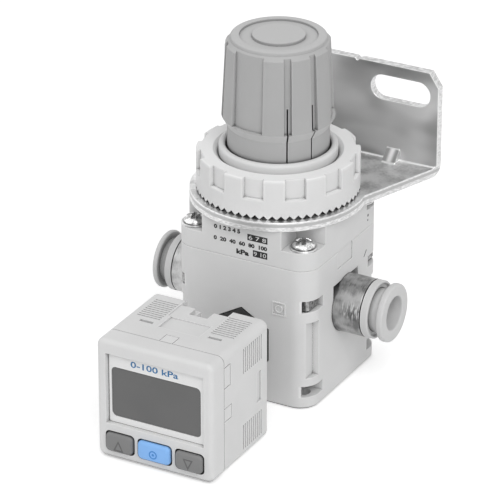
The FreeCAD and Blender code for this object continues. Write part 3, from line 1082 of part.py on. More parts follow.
def pressure_sensor():
    """Sensor element on the inner end of the port, with four wire legs to the board."""
    front = SENSOR_BACK + SENSOR_T
    block = rounded_block(SENSOR_SIDE, SENSOR_SIDE, SENSOR_BACK, front, SENSOR_CORNER_R)
    legs = [cylinder(LEG_R, front, BOARD_REAR, sx * LEG_OFFSET, sy * LEG_OFFSET) for sx, sy in CORNERS]
    return facing_front(fuse_all([block] + legs), PORT_Z)


# Pressure switch

def switch_block(near, far, inset, edge_r):
    """The switch's square outline between two distances, drawn in a little on all sides."""
    side = SWITCH_SIDE - 2 * inset
    return facing_front(rounded_block(side, side, near, far, edge_r), SWITCH_MID_Z)


def vent_cuts():
    """Rows of vent slots: two on top and two on each side."""
    cuts = []
    z, top, x1 = SWITCH_TOP_Z - VENT_DEPTH, SWITCH_TOP_Z + OVERCUT, SWITCH_HALF - VENT_MARGIN
    z1 = SWITCH_HALF - SIDE_VENT_MARGIN
    for k in range(VENT_N):
        near = SWITCH_BACK + VENT_FAR + k * VENT_PITCH
        far = near + VENT_W
        for side in (-1, 1):
            cuts.append(front_box(side * (x1 - VENT_L), side * x1, near, far, z, top))
            floor, out = side * (SWITCH_HALF - VENT_DEPTH), side * (SWITCH_HALF + OVERCUT)
            for up in (-1, 1):
                end = SWITCH_MID_Z + up * z1
                cuts.append(front_box(floor, out, near, far, end, end - up * SIDE_VENT_L))
    return cuts


def tab_grooves(side):
    """Three grooves that outline a tab behind the seam, on one side of the case."""
    floor, out = side * (SWITCH_HALF - TAB_GROOVE_T), side * (SWITCH_HALF + OVERCUT)
    z0, z1, near = SWITCH_MID_Z + TAB_UP, SWITCH_MID_Z + TAB_UP + TAB_H, COVER_SEAM - TAB_L
    grooves = [front_box(floor, out, near, COVER_SEAM, z, z + TAB_GROOVE_W) for z in (z0, z1 - TAB_GROOVE_W)]
    return grooves + [front_box(floor, out, near, near + TAB_GROOVE_W, z0, z1)]


def connector_cuts():
    """Window for the socket in the rear wall, and the stepped notch above it for the plug's latch."""
    back, w, h = SWITCH_BACK, SOCKET_W / 2 + SEAT_GAP, SOCKET_H / 2 + SEAT_GAP
    cuts = [front_box(-w, w, back - OVERCUT, back + CASE_WALL + OVERCUT, SOCKET_Z - h, SOCKET_Z + h)]
    for half_w, depth in ((w, SOCKET_NOTCH_L), (LATCH_SLOT_W / 2, LATCH_SLOT_L)):
        cuts.append(front_box(-half_w, half_w, back - OVERCUT, back + depth, SOCKET_TOP_Z,
                              SWITCH_TOP_Z + OVERCUT))
    return cuts


def face_cuts():
    """Shallow dishes, key holes, latch windows and the outlines of the side tabs."""
    top, half, back, over = SWITCH_TOP_Z, SWITCH_HALF, SWITCH_BACK, SWITCH_TOP_Z + OVERCUT
    near, catch = back + KEY_HOLE_NEAR, COVER_SEAM - CATCH_L
    cuts = [front_box(-DISH_W / 2, DISH_W / 2, back + DISH_NEAR, back + DISH_NEAR + DISH_L,
                      top - FACE_DISH_T, over),
            front_box(-REAR_DISH_W / 2, REAR_DISH_W / 2, back - OVERCUT, back + DISH_NEAR,
                      top - REAR_DISH_T, over),
            front_box(-CATCH_W / 2, CATCH_W / 2, catch, COVER_SEAM, top - CATCH_T, over)]
    for side in (-1, 1):
        cuts += tab_grooves(side)
        x, out = side * (half - KEY_HOLE_IN), side * (half + OVERCUT)
        cuts.append(front_box(x - KEY_HOLE_W / 2, x + KEY_HOLE_W / 2, near, near + KEY_HOLE_L,
                              top - CASE_WALL - OVERCUT, over))
        cuts.append(front_box(side * (half - FACE_DISH_T), out, back + SIDE_DISH_NEAR,
                              back + SIDE_DISH_NEAR + SIDE_DISH_L, SWITCH_MID_Z - SIDE_DISH_H / 2,
                              SWITCH_MID_Z + SIDE_DISH_H / 2))
        cuts.append(front_box(side * (half - CATCH_T), out, catch, COVER_SEAM, SWITCH_MID_Z - CATCH_W / 2,
                              SWITCH_MID_Z + CATCH_W / 2))
    return cuts


def board_posts():
    """Four posts inside the case, up to the back of the circuit board."""
    reach = SWITCH_HALF - POST_INSET
    back = SWITCH_BACK + CASE_WALL / 2
    return [facing_front(cylinder(POST_R, back, BOARD_REAR, sx * reach, sy * reach), SWITCH_MID_Z)
            for sx, sy in CORNERS]


def switch_case():
    """Rear case: a box open to the front, with vents, notches, port hole and connector window."""
    case = switch_block(SWITCH_BACK, COVER_SEAM, 0, COVER_EDGE_R)
    case = fillet(case, CASE_REAR_EDGE, lies_at("Y", -SWITCH_BACK))
    case = chamfer(case, COVER_SEAM_BREAK, lies_at("Y", -COVER_SEAM))
    wall = SWITCH_BACK + CASE_WALL
    hollow = switch_block(wall, COVER_SEAM + OVERCUT, CASE_WALL, CASE_INNER_R)
    port = facing_front(cylinder(PORT_STEM_R + SLIDING, SWITCH_BACK - OVERCUT, wall + OVERCUT), PORT_Z)
    shell = case.cut([hollow]).fuse(board_posts())
    return shell.cut([port] + connector_cuts() + vent_cuts() + face_cuts())


def cover_tongues():
    """Three snap tongues of the front cover, in the latch windows on top and at the sides."""
    gap, half, far = TONGUE_GAP, SWITCH_HALF, COVER_SEAM + CASE_WALL
    near, reach = COVER_SEAM - CATCH_L + gap, CATCH_W / 2 - gap
    tongues = [front_box(-reach, reach, near, far, SWITCH_TOP_Z - CATCH_T + gap, SWITCH_TOP_Z - SEAT_GAP)]
    for side in (-1, 1):
        tongues.append(front_box(side * (half - CATCH_T + gap), side * (half - SEAT_GAP), near, far,
                                 SWITCH_MID_Z - reach, SWITCH_MID_Z + reach))
    return tongues


def panel_recess():
    """Recess around the window, with sloping walls that narrow towards its floor."""
    outlines = []
    for near, inset in ((SWITCH_FRONT, 0.0), (PANEL_FLOOR, PANEL_DRAFT)):
        x = SWITCH_HALF - PANEL_SIDE - inset
        z0, z1 = SWITCH_Z0 + PANEL_FOOT + inset, SWITCH_TOP_Z - PANEL_HEAD - inset
        points = [V(-x, -near, z0), V(x, -near, z0), V(x, -near, z1), V(-x, -near, z1)]
        outlines.append(Part.makePolygon(points + points[:1]))
    return Part.makeLoft(outlines, True, True)


def lens_block(inset, near, far):
    """The window's rounded rectangle between two distances, drawn in on all sides."""
    z0, z1 = SWITCH_Z0 + LENS_FOOT + inset, SWITCH_TOP_Z - LENS_HEAD - inset
    width = SWITCH_SIDE - 2 * (LENS_SIDE + inset)
    return facing_front(rounded_block(width, z1 - z0, near, far, LENS_CORNER_R), (z0 + z1) / 2)


def button_block(place, grow, near, far):
    """A button's rounded rectangle between two distances, larger by a margin all round."""
    width = BUTTON_OUT - BUTTON_IN if place else BUTTON_MID_W
    block = rounded_block(width + 2 * grow, BUTTON_H + 2 * grow, near, far, BUTTON_CORNER_R)
    laid = facing_front(block, BUTTON_Z)
    laid.translate(V(button_x(place), 0, 0))
    return laid


def button_x(place):
    """Middle of the button at a place: -1 left, 0 middle, 1 right."""
    return place * (BUTTON_IN + BUTTON_OUT) / 2


def front_cover():
    """Front cover: rounded bezel with a recessed panel, the display window and three button holes."""
    cover = switch_block(COVER_SEAM, SWITCH_FRONT, 0, COVER_EDGE_R)
    cover = fillet(cover, COVER_FRONT_R, lies_at("Y", -SWITCH_FRONT))
    cover = chamfer(cover, COVER_SEAM_BREAK, lies_at("Y", -COVER_SEAM))
    out = SWITCH_FRONT + OVERCUT
    cuts = [switch_block(COVER_SEAM - OVERCUT, COVER_BACK, CASE_WALL, CASE_INNER_R), panel_recess(),
            lens_block(0, LENS_BACK, out), lens_block(LENS_LAND, COVER_BACK - OVERCUT, out)]
    cuts += [button_block(place, BUTTON_GAP, COVER_BACK - OVERCUT, out) for place in (-1, 0, 1)]
    return cover.cut(cuts).fuse(cover_tongues())


def display_lens():
    """Dark window that lies flush in the recessed panel."""
    return lens_block(LENS_GAP, LENS_BACK, PANEL_FLOOR)


def display_module():
    """Display block behind the window, on two legs that stand on the circuit board."""
    inset = LENS_LAND + SLIDING
    block = lens_block(inset, LENS_BACK - MODULE_T, LENS_BACK)
    w = SWITCH_HALF - LENS_SIDE - inset
    z0, z1 = SWITCH_Z0 + LENS_FOOT + inset + LENS_CORNER_R, SWITCH_TOP_Z - LENS_HEAD - inset - LENS_CORNER_R
    legs = [front_box(side * (w - MODULE_LEG), side * w, BOARD_FRONT, LENS_BACK - MODULE_T / 2, z0, z1)
            for side in (-1, 1)]
    return fuse_all([block] + legs)


def circuit_board():
    """Board across the case, on its four posts."""
    side = SWITCH_SIDE - 2 * (CASE_WALL + BOARD_MARGIN)
    return facing_front(rounded_block(side, side, BOARD_REAR, BOARD_FRONT, BOARD_CORNER_R), SWITCH_MID_Z)


def key_switches():
    """Three small key switches on the board, one behind each button."""
    half, base = KEY_SIDE / 2, BOARD_FRONT + KEY_BASE_T
    keys = []
    for place in (-1, 0, 1):
        x = button_x(place)
        block = front_box(x - half, x + half, BOARD_FRONT, base, BUTTON_Z - half, BUTTON_Z + half)
        cap = Part.makeCylinder(KEY_CAP_R, KEY_CAP_H, V(x, -KEY_CAP_FRONT, BUTTON_Z), Y_AXIS)
        keys.append(block.fuse(cap))
    return Part.makeCompound(keys)


def button(place):
    """Push button: rounded cap through the cover, a flange behind it and a stem to its key."""
    face, inner = SWITCH_FRONT + BUTTON_PROUD, COVER_BACK - LENS_GAP
    cap = fillet(button_block(place, 0, inner - BUTTON_FLANGE_T, face), BUTTON_EDGE, lies_at("Y", -face))
    flange = button_block(place, BUTTON_FLANGE, inner - BUTTON_FLANGE_T, inner)
    stem_end = KEY_CAP_FRONT + BUTTON_TRAVEL + LENS_GAP
    stem = Part.makeCylinder(BUTTON_STEM_R, inner - stem_end, V(button_x(place), -inner, BUTTON_Z), Y_AXIS)
    return fuse_all([cap, flange, stem])


def connector_socket():
    """Socket for the lead at the back of the case, open to the rear, with a slot for the latch."""
    w, h, mouth, bottom = SOCKET_W / 2, SOCKET_H / 2, SOCKET_MOUTH, SOCKET_MOUTH + SOCKET_L
    shell = front_box(-w, w, mouth, bottom, SOCKET_Z - h, SOCKET_Z + h)
    w, h = w - SOCKET_WALL, h - SOCKET_WALL
    cavity = front_box(-w, w, mouth - OVERCUT, SOCKET_FLOOR_Y, SOCKET_Z - h, SOCKET_Z + h)
    slot = front_box(-LATCH_SLOT_W / 2, LATCH_SLOT_W / 2, mouth - OVERCUT, mouth + LATCH_SLOT_L,
                     SOCKET_Z, SOCKET_TOP_Z + OVERCUT)
    return shell.cut([cavity, slot] + pins())


def pins():
    """Square pins through the socket's floor, back to the circuit board."""
    half, bars = PIN_SIDE / 2, []
    for k in range(PIN_COUNT):
        x = (k - (PIN_COUNT - 1) / 2) * PIN_PITCH
        bars.append(front_box(x - half, x + half, SOCKET_FLOOR_Y - PIN_OUT, BOARD_REAR,
                              SOCKET_Z - half, SOCKET_Z + half))
    return bars


def parts():
    """Every piece by its name."""
    makers = [
        body, bonnet, bonnet_screws, screw_washers, square_nuts, bracket, ring_nut, knob,
        adjusting_screw, spindle_oring, thrust_washer, retaining_clip, spring_nut, setting_spring,
        diaphragm, upper_plate, lower_plate, diaphragm_stud, relief_pad, main_valve, valve_seal,
        stem_seal, valve_spring, bottom_cap, cap_oring, switch_union, union_oring, port_gasket,
        switch_port, pressure_sensor, switch_case, front_cover, display_lens, display_module,
        circuit_board, key_switches, connector_socket]
    pieces = {maker.__name__: maker() for maker in makers}
    pieces["connector_pins"] = Part.makeCompound(pins())
    for place, name in ((-1, "button_up"), (0, "button_set"), (1, "button_down")):
        pieces[name] = button(place)
    fitting = {"sleeve": fitting_sleeve(), "oring": fitting_oring(), "tube_seal": tube_seal(),
               "tube_chuck": tube_chuck(), "collar": fitting_collar(), "release_button": release_button()}
    for port, side in (("pump", -1), ("set", 1)):
        for name, shape in fitting.items():
            pieces[port + "_" + name] = facing_side(shape, side, FITTING_Z)
    return pieces


os.makedirs("parts", exist_ok=True)
for name, shape in parts().items():
    shape.exportStep("parts/" + name + ".step")
    print(name, "solids", len(shape.Solids), "valid", shape.isValid(), "volume %.1f" % shape.Volume)
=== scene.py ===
import math

import bmesh
import bpy
import numpy as np
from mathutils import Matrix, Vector


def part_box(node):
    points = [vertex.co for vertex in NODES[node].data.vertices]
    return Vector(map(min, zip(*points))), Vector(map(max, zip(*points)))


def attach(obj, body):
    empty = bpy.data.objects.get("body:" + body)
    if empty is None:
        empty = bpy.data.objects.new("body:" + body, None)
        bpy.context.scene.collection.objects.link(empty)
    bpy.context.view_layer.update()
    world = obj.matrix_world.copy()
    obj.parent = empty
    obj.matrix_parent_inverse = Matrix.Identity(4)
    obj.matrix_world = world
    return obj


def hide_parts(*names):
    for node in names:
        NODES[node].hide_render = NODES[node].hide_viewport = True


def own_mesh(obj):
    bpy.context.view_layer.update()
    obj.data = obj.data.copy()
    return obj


# Looks of a vacuum regulator with push-in fittings, a bracket and a square pressure switch.
# +Z is up and the front with the switch is -Y. Lengths are named in millimetres, and become metres
# where a mesh, a node or the camera takes them.

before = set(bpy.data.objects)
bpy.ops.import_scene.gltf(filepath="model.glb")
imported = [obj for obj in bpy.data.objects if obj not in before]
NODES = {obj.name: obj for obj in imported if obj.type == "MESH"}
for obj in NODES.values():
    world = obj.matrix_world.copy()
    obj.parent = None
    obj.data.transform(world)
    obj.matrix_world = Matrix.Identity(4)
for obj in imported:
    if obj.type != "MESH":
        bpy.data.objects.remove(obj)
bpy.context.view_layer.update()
MM = 0.001
PER_M = 1000.0          # patterns are laid out in millimetres
SMOOTH_ANGLE = math.radians(35.0)

# How finely round surfaces are divided: rings of the fittings and their eased corners, corners of
# plates and edges of keys, the springs' turns and their wire, the screws' heads and threads, circles
# and letters
RING_SIDES, EASE_POINTS = 96, 6
CORNER_POINTS, KEY_EDGE_ROWS = 8, 8
TURN_STEPS, WIRE_SIDES = 56, 14
HEAD_SIDES, HEAD_RINGS = 120, 44
THREAD_SIDES, THREAD_ROWS = 24, 6
CIRCLE_SIDES, STEM_SIDES, DOT_SIDES, SPOT_SIDES = 32, 24, 20, 16
LETTER_STEPS = 3

# Rays that each look at soft edges and at hollows takes
BEVEL_SAMPLES, HOLLOW_SAMPLES = 6, 4

# Camera and its view of the regulator
CAMERA_AZIMUTH = math.radians(28.6)
CAMERA_ELEVATION = math.radians(26.09)
CAMERA_DISTANCE = 896.19 * MM
CAMERA_TARGET = Vector((-11.55, 7.38, 24.52)) * MM
CAMERA_LENS, CAMERA_SENSOR = 269.9, 36.0
CAMERA_NEAR, CAMERA_FAR = 0.05, 20.0

# Greys and colours as they look on the object, 0 to 255
BODY_GREY, NUT_GREY, SWITCH_GREY, COLLAR_GREY = 219, 222, 219, 212
KNOB_GREY, KEY_GREY, BLACK_GREY, DISPLAY_GREY = 172, 128, 60, 70
INK_GREY, KEY_INK_GREY, PALE_INK_GREY, SIDE_DARK_GREY = 38, 90, 205, 96
KEY_BLUE, PRINT_BLUE, DEEP_BLUE = (138, 188, 246), (50, 104, 148), (66, 128, 196)
BRASS_TONE, ALUMINIUM_GREY = (206, 178, 104), 206
BOARD_GREENS = (22, 84, 48), (32, 104, 60)
INK_PALER, INK_LIFT = 1.35, 0.01    # how much paler the pale patches of ink are

# Darkest and lightest grey of clouded finishes: rubber, the smoked window, the sleeves' nickel, and
# the zinc sheet on its upright and lying faces, the lying ones lighter as painted light, its sheared
# edges and its darts, from flank to a painted highlight on the crest
RUBBER_GREYS, LENS_GREYS, NICKEL_GREYS = (26, 44), (96, 100), (122, 192)
UPRIGHT_GREYS, LYING_LIT_GREYS = (164, 228), (184, 244)
SHEARED_GREYS, DART_GREYS = (188, 228), (166, 254)

# Single greys of the metals: painted highlights on the edges of the sheet, on its bend and on the other
# metals' edges, the scuffs with their painted highlight and the torn band, and below them painted shade
# in hollows and the back of the wall
EDGE_HIGHLIGHT_GREY, BRIGHT_GREY, SCUFF_HIGHLIGHT_GREY, TORN_GREY = 253, 254, 250, 132
ZINC_HOLLOW_GREY, NICKEL_HOLLOW_GREY, BACK_GREY = 70, 40, 176
PLATE_HOLLOW_SHADE = 0.12
FACE_TURN = (0.72, 0.93)    # how straight a face of the sheet looks, from an edge to a plain face
WHITEST = 0.98              # the share of the light that the palest surface gives back

# Moulded resin: its gloss, the depth of its grain in millimetres, and the shares of its tone in the
# clouds, in painted highlights on outer edges, in painted shade in gaps and seams and in the painted
# black shade deep in a gap; then the shares of the painted edge highlights and of the seam's painted shade
RESIN_GLOSS, RESIN_GRAIN = 0.35, 0.01
CLOUD_SHADE, HIGHLIGHT_TONE, SHADOW_TONE, PIT_SHADE = 0.955, 1.18, 0.3, 0.05
HIGHLIGHT_SHARE, SEAM_SHARE = 0.85, 0.75

# Faces of the body, the switch and the bracket that marks and finishes go by, in millimetres
BODY_FRONT_Y, BODY_SIDE_X = -18.0, 18.0
PANEL_Y, KEY_FACE_Y = -57.7, -59.7
SHEET_Z0, SHEET_Z1, SHEET_BACK_Y, DART_X = 45.1, 47.35, 24.0, 17.1

# Marks, in millimetres: the thickness of printed ones, the width and height of raised ones with
# the share by which their sides draw in, and how far both are sunk into their face
INK_T = 0.02
RIDGE_W, RIDGE_H, RIDGE_SLOPE = 0.36, 0.24, 0.1
INK_SINK, RIDGE_SINK = 0.01, 0.02

# Words and numbers, each with its left, right, lower and upper edge, and the dark fields
LABEL_WORDS = [("0 1 2 3 4 5", -7.2, -0.3, 42.2, 43.3), ("0  20  40  60  80  100", -7.3, 6.75, 39.3, 40.4),
               ("kPa", -1.3, 2.0, 37.0, 38.3)]
LABEL_FIELDS = [(1.6, 6.85, 41.1, 42.7), (3.05, 6.8, 37.2, 38.85)]
LABEL_NUMBERS = [("6 7 8", 1.95, 6.5, 41.4, 42.4), ("9 10", 3.3, 6.5, 37.5, 38.5)]
LABEL_WEIGHT = 0.05
DISPLAY_WORDS, DISPLAY_WEIGHT = ("0-100 kPa", -6.5, 5.8, 24.45, 26.0), 0.015

# Marks of the body: a square and a ring (x, z, radius) raised on the front, and on the right side
# two dark spots (y, z, radius) and a bar of painted shadow
FRONT_SQUARE, FRONT_RING = (8.2, 11.75, 23.6, 27.1), (9.95, 25.35, 1.05)
SIDE_SPOTS = [(11.05, 38.95, 0.34), (10.95, 37.75, 0.24)]
SIDE_BAR = [(9.05, 28.85), (9.4, 28.75), (10.65, 30.2), (10.3, 30.3)]

# Marks of the keys: half the width and height of the triangles and their middle, the ring with its
# dot, and the width of the lines
TRIANGLE_W, TRIANGLE_H, TRIANGLE_Z = 1.3, 1.35, 4.3
KEY_RING_R, KEY_DOT_R, KEY_RING_Z = 1.05, 0.32, 4.4
KEY_LINE_W = 0.3

# Corner screws, in millimetres: pan heads with a cross recess that is turned by some degrees, and
# a thread whose tip draws in
SCREW_X = 14.3
HEAD_R, HEAD_H, HEAD_EDGE, HEAD_BREAK, SHANK_R = 2.7, 1.9, 0.6, 0.12, 1.5
CENTRE_R = 0.03         # of the small face that closes the middle of a head
ARM_L, ARM_W, ARM_SLOPE, RECESS_DEPTH = 2.0, 1.0, 0.14, 1.1
RECESS_CURVE = 0.8      # a power: below 1, the depth falls later along the arms
RECESS_TURNS = (12.0, 48.0, 27.0, 70.0)
THREAD_PITCH, THREAD_DEPTH, THREAD_SINK = 0.5, 0.27, 0.3
TIP_L, TIP_SHARE = 0.6, 0.75

# Fittings, in millimetres: their axis, the height of the painted highlight over the scuffs on the
# sleeves, and the release buttons with their eased edges; for each, the face of its flange towards
# the body and its outer face
FITTING_Z, SCUFF_HIGHLIGHT_Z = 21.2, 22.6
TUBE_R, BARREL_R, LIP_R, LIP_L, FLANGE_R = 4.1, 5.2, 5.6, 0.8, 7.05
TAIL_EASE, NECK_EASE, FLANGE_EASE, MOUTH_EASE = 0.2, 0.1, 0.55, 0.4
RELEASE_FACES = {"pump": (29.1, 30.35), "set": (29.25, 30.9)}

# Panel sheet of the switch, in millimetres: its outline, the window in it and its thickness, and
# the seam between the switch's cover and case
SHEET_OUTLINE, SHEET_CORNER = (-12.1, 12.4, 9.45, 26.7), 0.35
WINDOW_OUTLINE, WINDOW_CORNER = (-11.55, 11.55, 10.95, 23.5), 1.2
PANEL_SHEET_T = 0.25
COVER_SEAM_Y = -53.35

# Keys, in millimetres: their middle height and their middles and widths across, the cap's height
# and corner, how far its edge draws in and falls, and the flange and stem behind the cover
KEY_Z, KEY_H, KEY_CORNER = 4.75, 4.6, 1.1
KEYS = {"key_up": (-9.05, 7.0), "key_set": (0.0, 8.4), "key_down": (9.05, 7.0)}
KEY_DRAW, KEY_FALL = 0.75, 0.75
KEY_BACK_Y, KEY_FLANGE_Y, KEY_FLANGE, KEY_STEM_R = -55.75, -56.35, 0.45, 1.0

# Springs: the radius of the wire in millimetres, the number of turns, how far the spring is
# pressed together, and the room under it, in which the plates can lift. The wire's centre starts
# and ends some radii from the end planes, and rises to some more in the first and the last turn.
SETTING_WIRE_R, SETTING_TURNS, SETTING_TRAVEL, SETTING_ROOM = 0.75, 6, 8.0, 0.45
VALVE_WIRE_R, VALVE_TURNS, VALVE_TRAVEL, VALVE_ROOM = 0.3, 4, 0.8, 0.0
GROUND_RADII, CLOSED_RADII = 0.6, 2.2

# Studio, in metres and watts: place, size and power of each lamp, the strength of the light from
# all round and its colour, and the floor: half its width, its grey, the strength of the glow that
# keeps it white, its roughness and its gloss
LAMPS = {"key": ((0.5, -0.55, 0.75), 0.5, 3.8), "fill": ((-0.75, -0.35, 0.6), 0.6, 1.0),
         "low": ((0.4, -0.9, 0.1), 0.4, 0.35)}
LAMPS_AIM = Vector((0.0, 0.0, 0.03))
ROUND_LIGHT, WHITE = 0.63, (1.0, 1.0, 1.0, 1.0)
FLOOR_HALF, FLOOR_GREY, FLOOR_GLOW, FLOOR_ROUGHNESS, FLOOR_GLOSS = 4.0, 238, 0.4, 0.9, 0.1


def linear(value):
    """A display value, 0 to 255, as linear light: the sRGB curve."""
    share = value / 255.0
    return share / 12.92 if share <= 0.04045 else ((share + 0.055) / 1.055) ** 2.4


def grey(value):
    """A grey as it looks on the object."""
    return (linear(value),) * 3 + (1.0,)


def greys(values):
    """Several greys as they look on the object."""
    return [grey(value) for value in values]


def colour(red, green, blue):
    """A colour as it looks on the object."""
    return (linear(red), linear(green), linear(blue), 1.0)


class Channel:
    """One output of a node, with which sums are written as Python expressions."""

    def __init__(self, tree, socket):
        self.tree = tree
        self.socket = socket

    def math(self, operation, *others):
        """A sum of this channel and others, by the name of Blender's operation."""
        sockets = dict(enumerate((self,) + others))
        return self.tree.add("ShaderNodeMath", {"operation": operation}, sockets)

    def __add__(self, other):
        return self.math("ADD", other)

    def __sub__(self, other):
        return self.math("SUBTRACT", other)

    def __rsub__(self, other):
        return (self * -1.0) + other

    def __mul__(self, other):
        return self.math("MULTIPLY", other)

    def __abs__(self):
        return self.math("ABSOLUTE")


class NodeTree:
    """The nodes of a material or of the world while they are made."""

    def __init__(self, owner):
        owner.use_nodes = True
        self.nodes = owner.node_tree.nodes
        self.links = owner.node_tree.links

    def add(self, kind, settings=None, sockets=None, out=0):
        """A node of a kind, its settings first, then the values or links of its sockets."""
        node = self.nodes.new(kind)
        for name, value in (settings or {}).items():
            setattr(node, name, value)
        for name, value in (sockets or {}).items():
            if isinstance(value, Channel):
                self.links.new(value.socket, node.inputs[name])
            else:
                node.inputs[name].default_value = value
        return Channel(self, node.outputs[out])

    def seen_directly(self):
        """1 for rays of the camera and for those that gloss or a clear piece sends on, else 0."""
        seen = self.add("ShaderNodeLightPath", out="Is Camera Ray")
        for ray in ("Is Glossy Ray", "Is Transmission Ray"):
            seen = seen.math("MAXIMUM", self.add("ShaderNodeLightPath", out=ray))
        return seen


class Paint(NodeTree):
    """A material while it is made: its principled shader and the nodes that feed it."""

    def __init__(self, name, **constants):
        self.material = bpy.data.materials.new(name)
        super().__init__(self.material)
        self.shader = self.nodes["Principled BSDF"]
        for socket, value in constants.items():
            self.shader.inputs[socket.replace("_", " ")].default_value = value
        here = self.add("ShaderNodeTexCoord", out="Object")
        self.place = self.add("ShaderNodeVectorMath", {"operation": "SCALE"}, {0: here, 3: PER_M})

    def axis(self, name):
        """One coordinate of the place on the piece, in millimetres."""
        return self.add("ShaderNodeSeparateXYZ", None, {0: self.place}, out=name)

    def facing(self, name):
        """One coordinate of the surface's direction."""
        direction = self.add("ShaderNodeNewGeometry", out="Normal")
        return self.add("ShaderNodeSeparateXYZ", None, {0: direction}, out=name)

    def noise(self, scale, detail=2.0, stretch=(1.0, 1.0, 1.0), shift=0.0):
        """Cloudy noise from 0 to 1, its scale in waves for each millimetre."""
        turned = self.add("ShaderNodeMapping", None,
                          {"Vector": self.place, "Location": (shift,) * 3, "Scale": stretch})
        return self.add("ShaderNodeTexNoise", None,
                        {"Vector": turned, "Scale": scale, "Detail": detail})

    def ramp(self, value, low, high):
        """0 where the value is at most low, 1 from high on, and smooth between them."""
        return self.add("ShaderNodeMapRange", {"interpolation_type": "SMOOTHSTEP"},
                        {"Value": value, "From Min": low, "From Max": high})

    def mix(self, share, first, second):
        """Two colours mixed: the first at share 0, the second at share 1."""
        settings = {"data_type": "RGBA"}
        return self.add("ShaderNodeMix", settings, {0: share, 6: first, 7: second}, out=2)

    def soft_edges(self, radius):
        """The surface's direction, turned smoothly within a radius of each edge."""
        return self.add("ShaderNodeBevel", {"samples": BEVEL_SAMPLES}, {"Radius": radius * MM})

    def hollows(self, reach, low=0.2, high=0.85):
        """How far gaps and inner corners close in: 0 on open faces, 1 deep in a gap."""
        light = self.add("ShaderNodeAmbientOcclusion", {"samples": HOLLOW_SAMPLES},
                         {"Distance": reach * MM}, out="AO")
        return 1.0 - self.ramp(light, low, high)

    def rims(self, reach):
        """How near an outer edge is: 0 on plain faces, 1 at the edge."""
        behind = self.add("ShaderNodeAmbientOcclusion",
                          {"samples": HOLLOW_SAMPLES, "inside": True, "only_local": True},
                          {"Distance": reach * MM}, out="AO")
        return self.ramp(1.0 - behind, 0.08, 0.5)

    def bump(self, height, depth, under=None):
        """The surface's direction after small bumps of a height pattern, depth in millimetres."""
        sockets = {"Height": height, "Distance": depth * MM, "Strength": 1.0}
        if under is not None:
            sockets["Normal"] = under
        return self.add("ShaderNodeBump", None, sockets)

    def feed(self, **sockets):
        """Links patterns to the shader and gives back the material."""
        for name, value in sockets.items():
            self.links.new(value.socket, self.shader.inputs[name.replace("_", " ")])
        return self.material


def shade(tone, share):
    """A colour times a share, at most nearly white."""
    return tuple(min(WHITEST, c * share) for c in tone[:3]) + (1.0,)


def moulded_resin(name, tone, edge=0.3, rough=0.5, gap=0.6, gap_shade=0.8, pit=1.6, painted_top_light=1.0, painted_under_light=1.0,
                  highlight_reach=0.35, seam=None):
    """Moulded resin: faint clouds and fine grain, painted shade in its gaps, painted highlights on outer
    edges.

    Edge, gap and pit are reaches in millimetres: of the soft edges, of the painted shade in gaps
    and of the painted black shade deep in gaps; another reach is that of the painted highlights on
    outer edges. Two shares paint light onto the faces that look up and down, another sets the
    strength of the painted shade in gaps, and a seam is a line of painted shade across Y.
    """
    paint = Paint(name, Specular_IOR_Level=RESIN_GLOSS)
    clouds = paint.noise(0.09, 3.0)
    speckle = paint.noise(3.1, 2.0, shift=7.0)
    share = paint.ramp(clouds * 0.8 + speckle * 0.2, 0.3, 0.7)
    base = paint.mix(share, shade(tone, CLOUD_SHADE), tone)
    # Painted light: faces that look up, and faces that look down, are lightened.
    if painted_top_light != 1.0:
        upward = paint.ramp(paint.facing("Z"), 0.5, 0.95)
        base = paint.mix(upward, base, shade(tone, painted_top_light))
    if painted_under_light != 1.0:
        downward = paint.ramp(paint.facing("Z") * -1.0, 0.15, 0.5)
        base = paint.mix(downward, base, shade(tone, painted_under_light))
    # A line of painted shade along the seam.
    if seam is not None:
        line = 1.0 - paint.ramp(abs(paint.axis("Y") - seam), 0.08, 0.2)
        base = paint.mix(line * SEAM_SHARE, base, shade(tone, SHADOW_TONE))
    # Painted highlights on outer edges, painted shade in gaps, painted black shade deep in gaps.
    base = paint.mix(paint.rims(highlight_reach) * HIGHLIGHT_SHARE, base, shade(tone, HIGHLIGHT_TONE))
    base = paint.mix(paint.hollows(gap) * gap_shade, base, shade(tone, SHADOW_TONE))
    base = paint.mix(paint.hollows(pit, 0.03, 0.5), base, shade(tone, PIT_SHADE))
    roughness = speckle * 0.16 + (rough - 0.08)
    normal = paint.bump(paint.noise(5.5, 2.0), RESIN_GRAIN, paint.soft_edges(edge))
    return paint.feed(Base_Color=base, Roughness=roughness, Normal=normal)


def smoked_window():
    """Smoked clear resin of the display window, with a faint cloud and a polished face."""
    paint = Paint("smoked_window", Specular_IOR_Level=0.4)
    share = paint.ramp(paint.noise(0.07, 1.0), 0.35, 0.65)
    base = paint.mix(share, *greys(LENS_GREYS))
    roughness = paint.noise(1.2, 2.0) * 0.08 + 0.16
    return paint.feed(Base_Color=base, Roughness=roughness, Normal=paint.soft_edges(0.15))


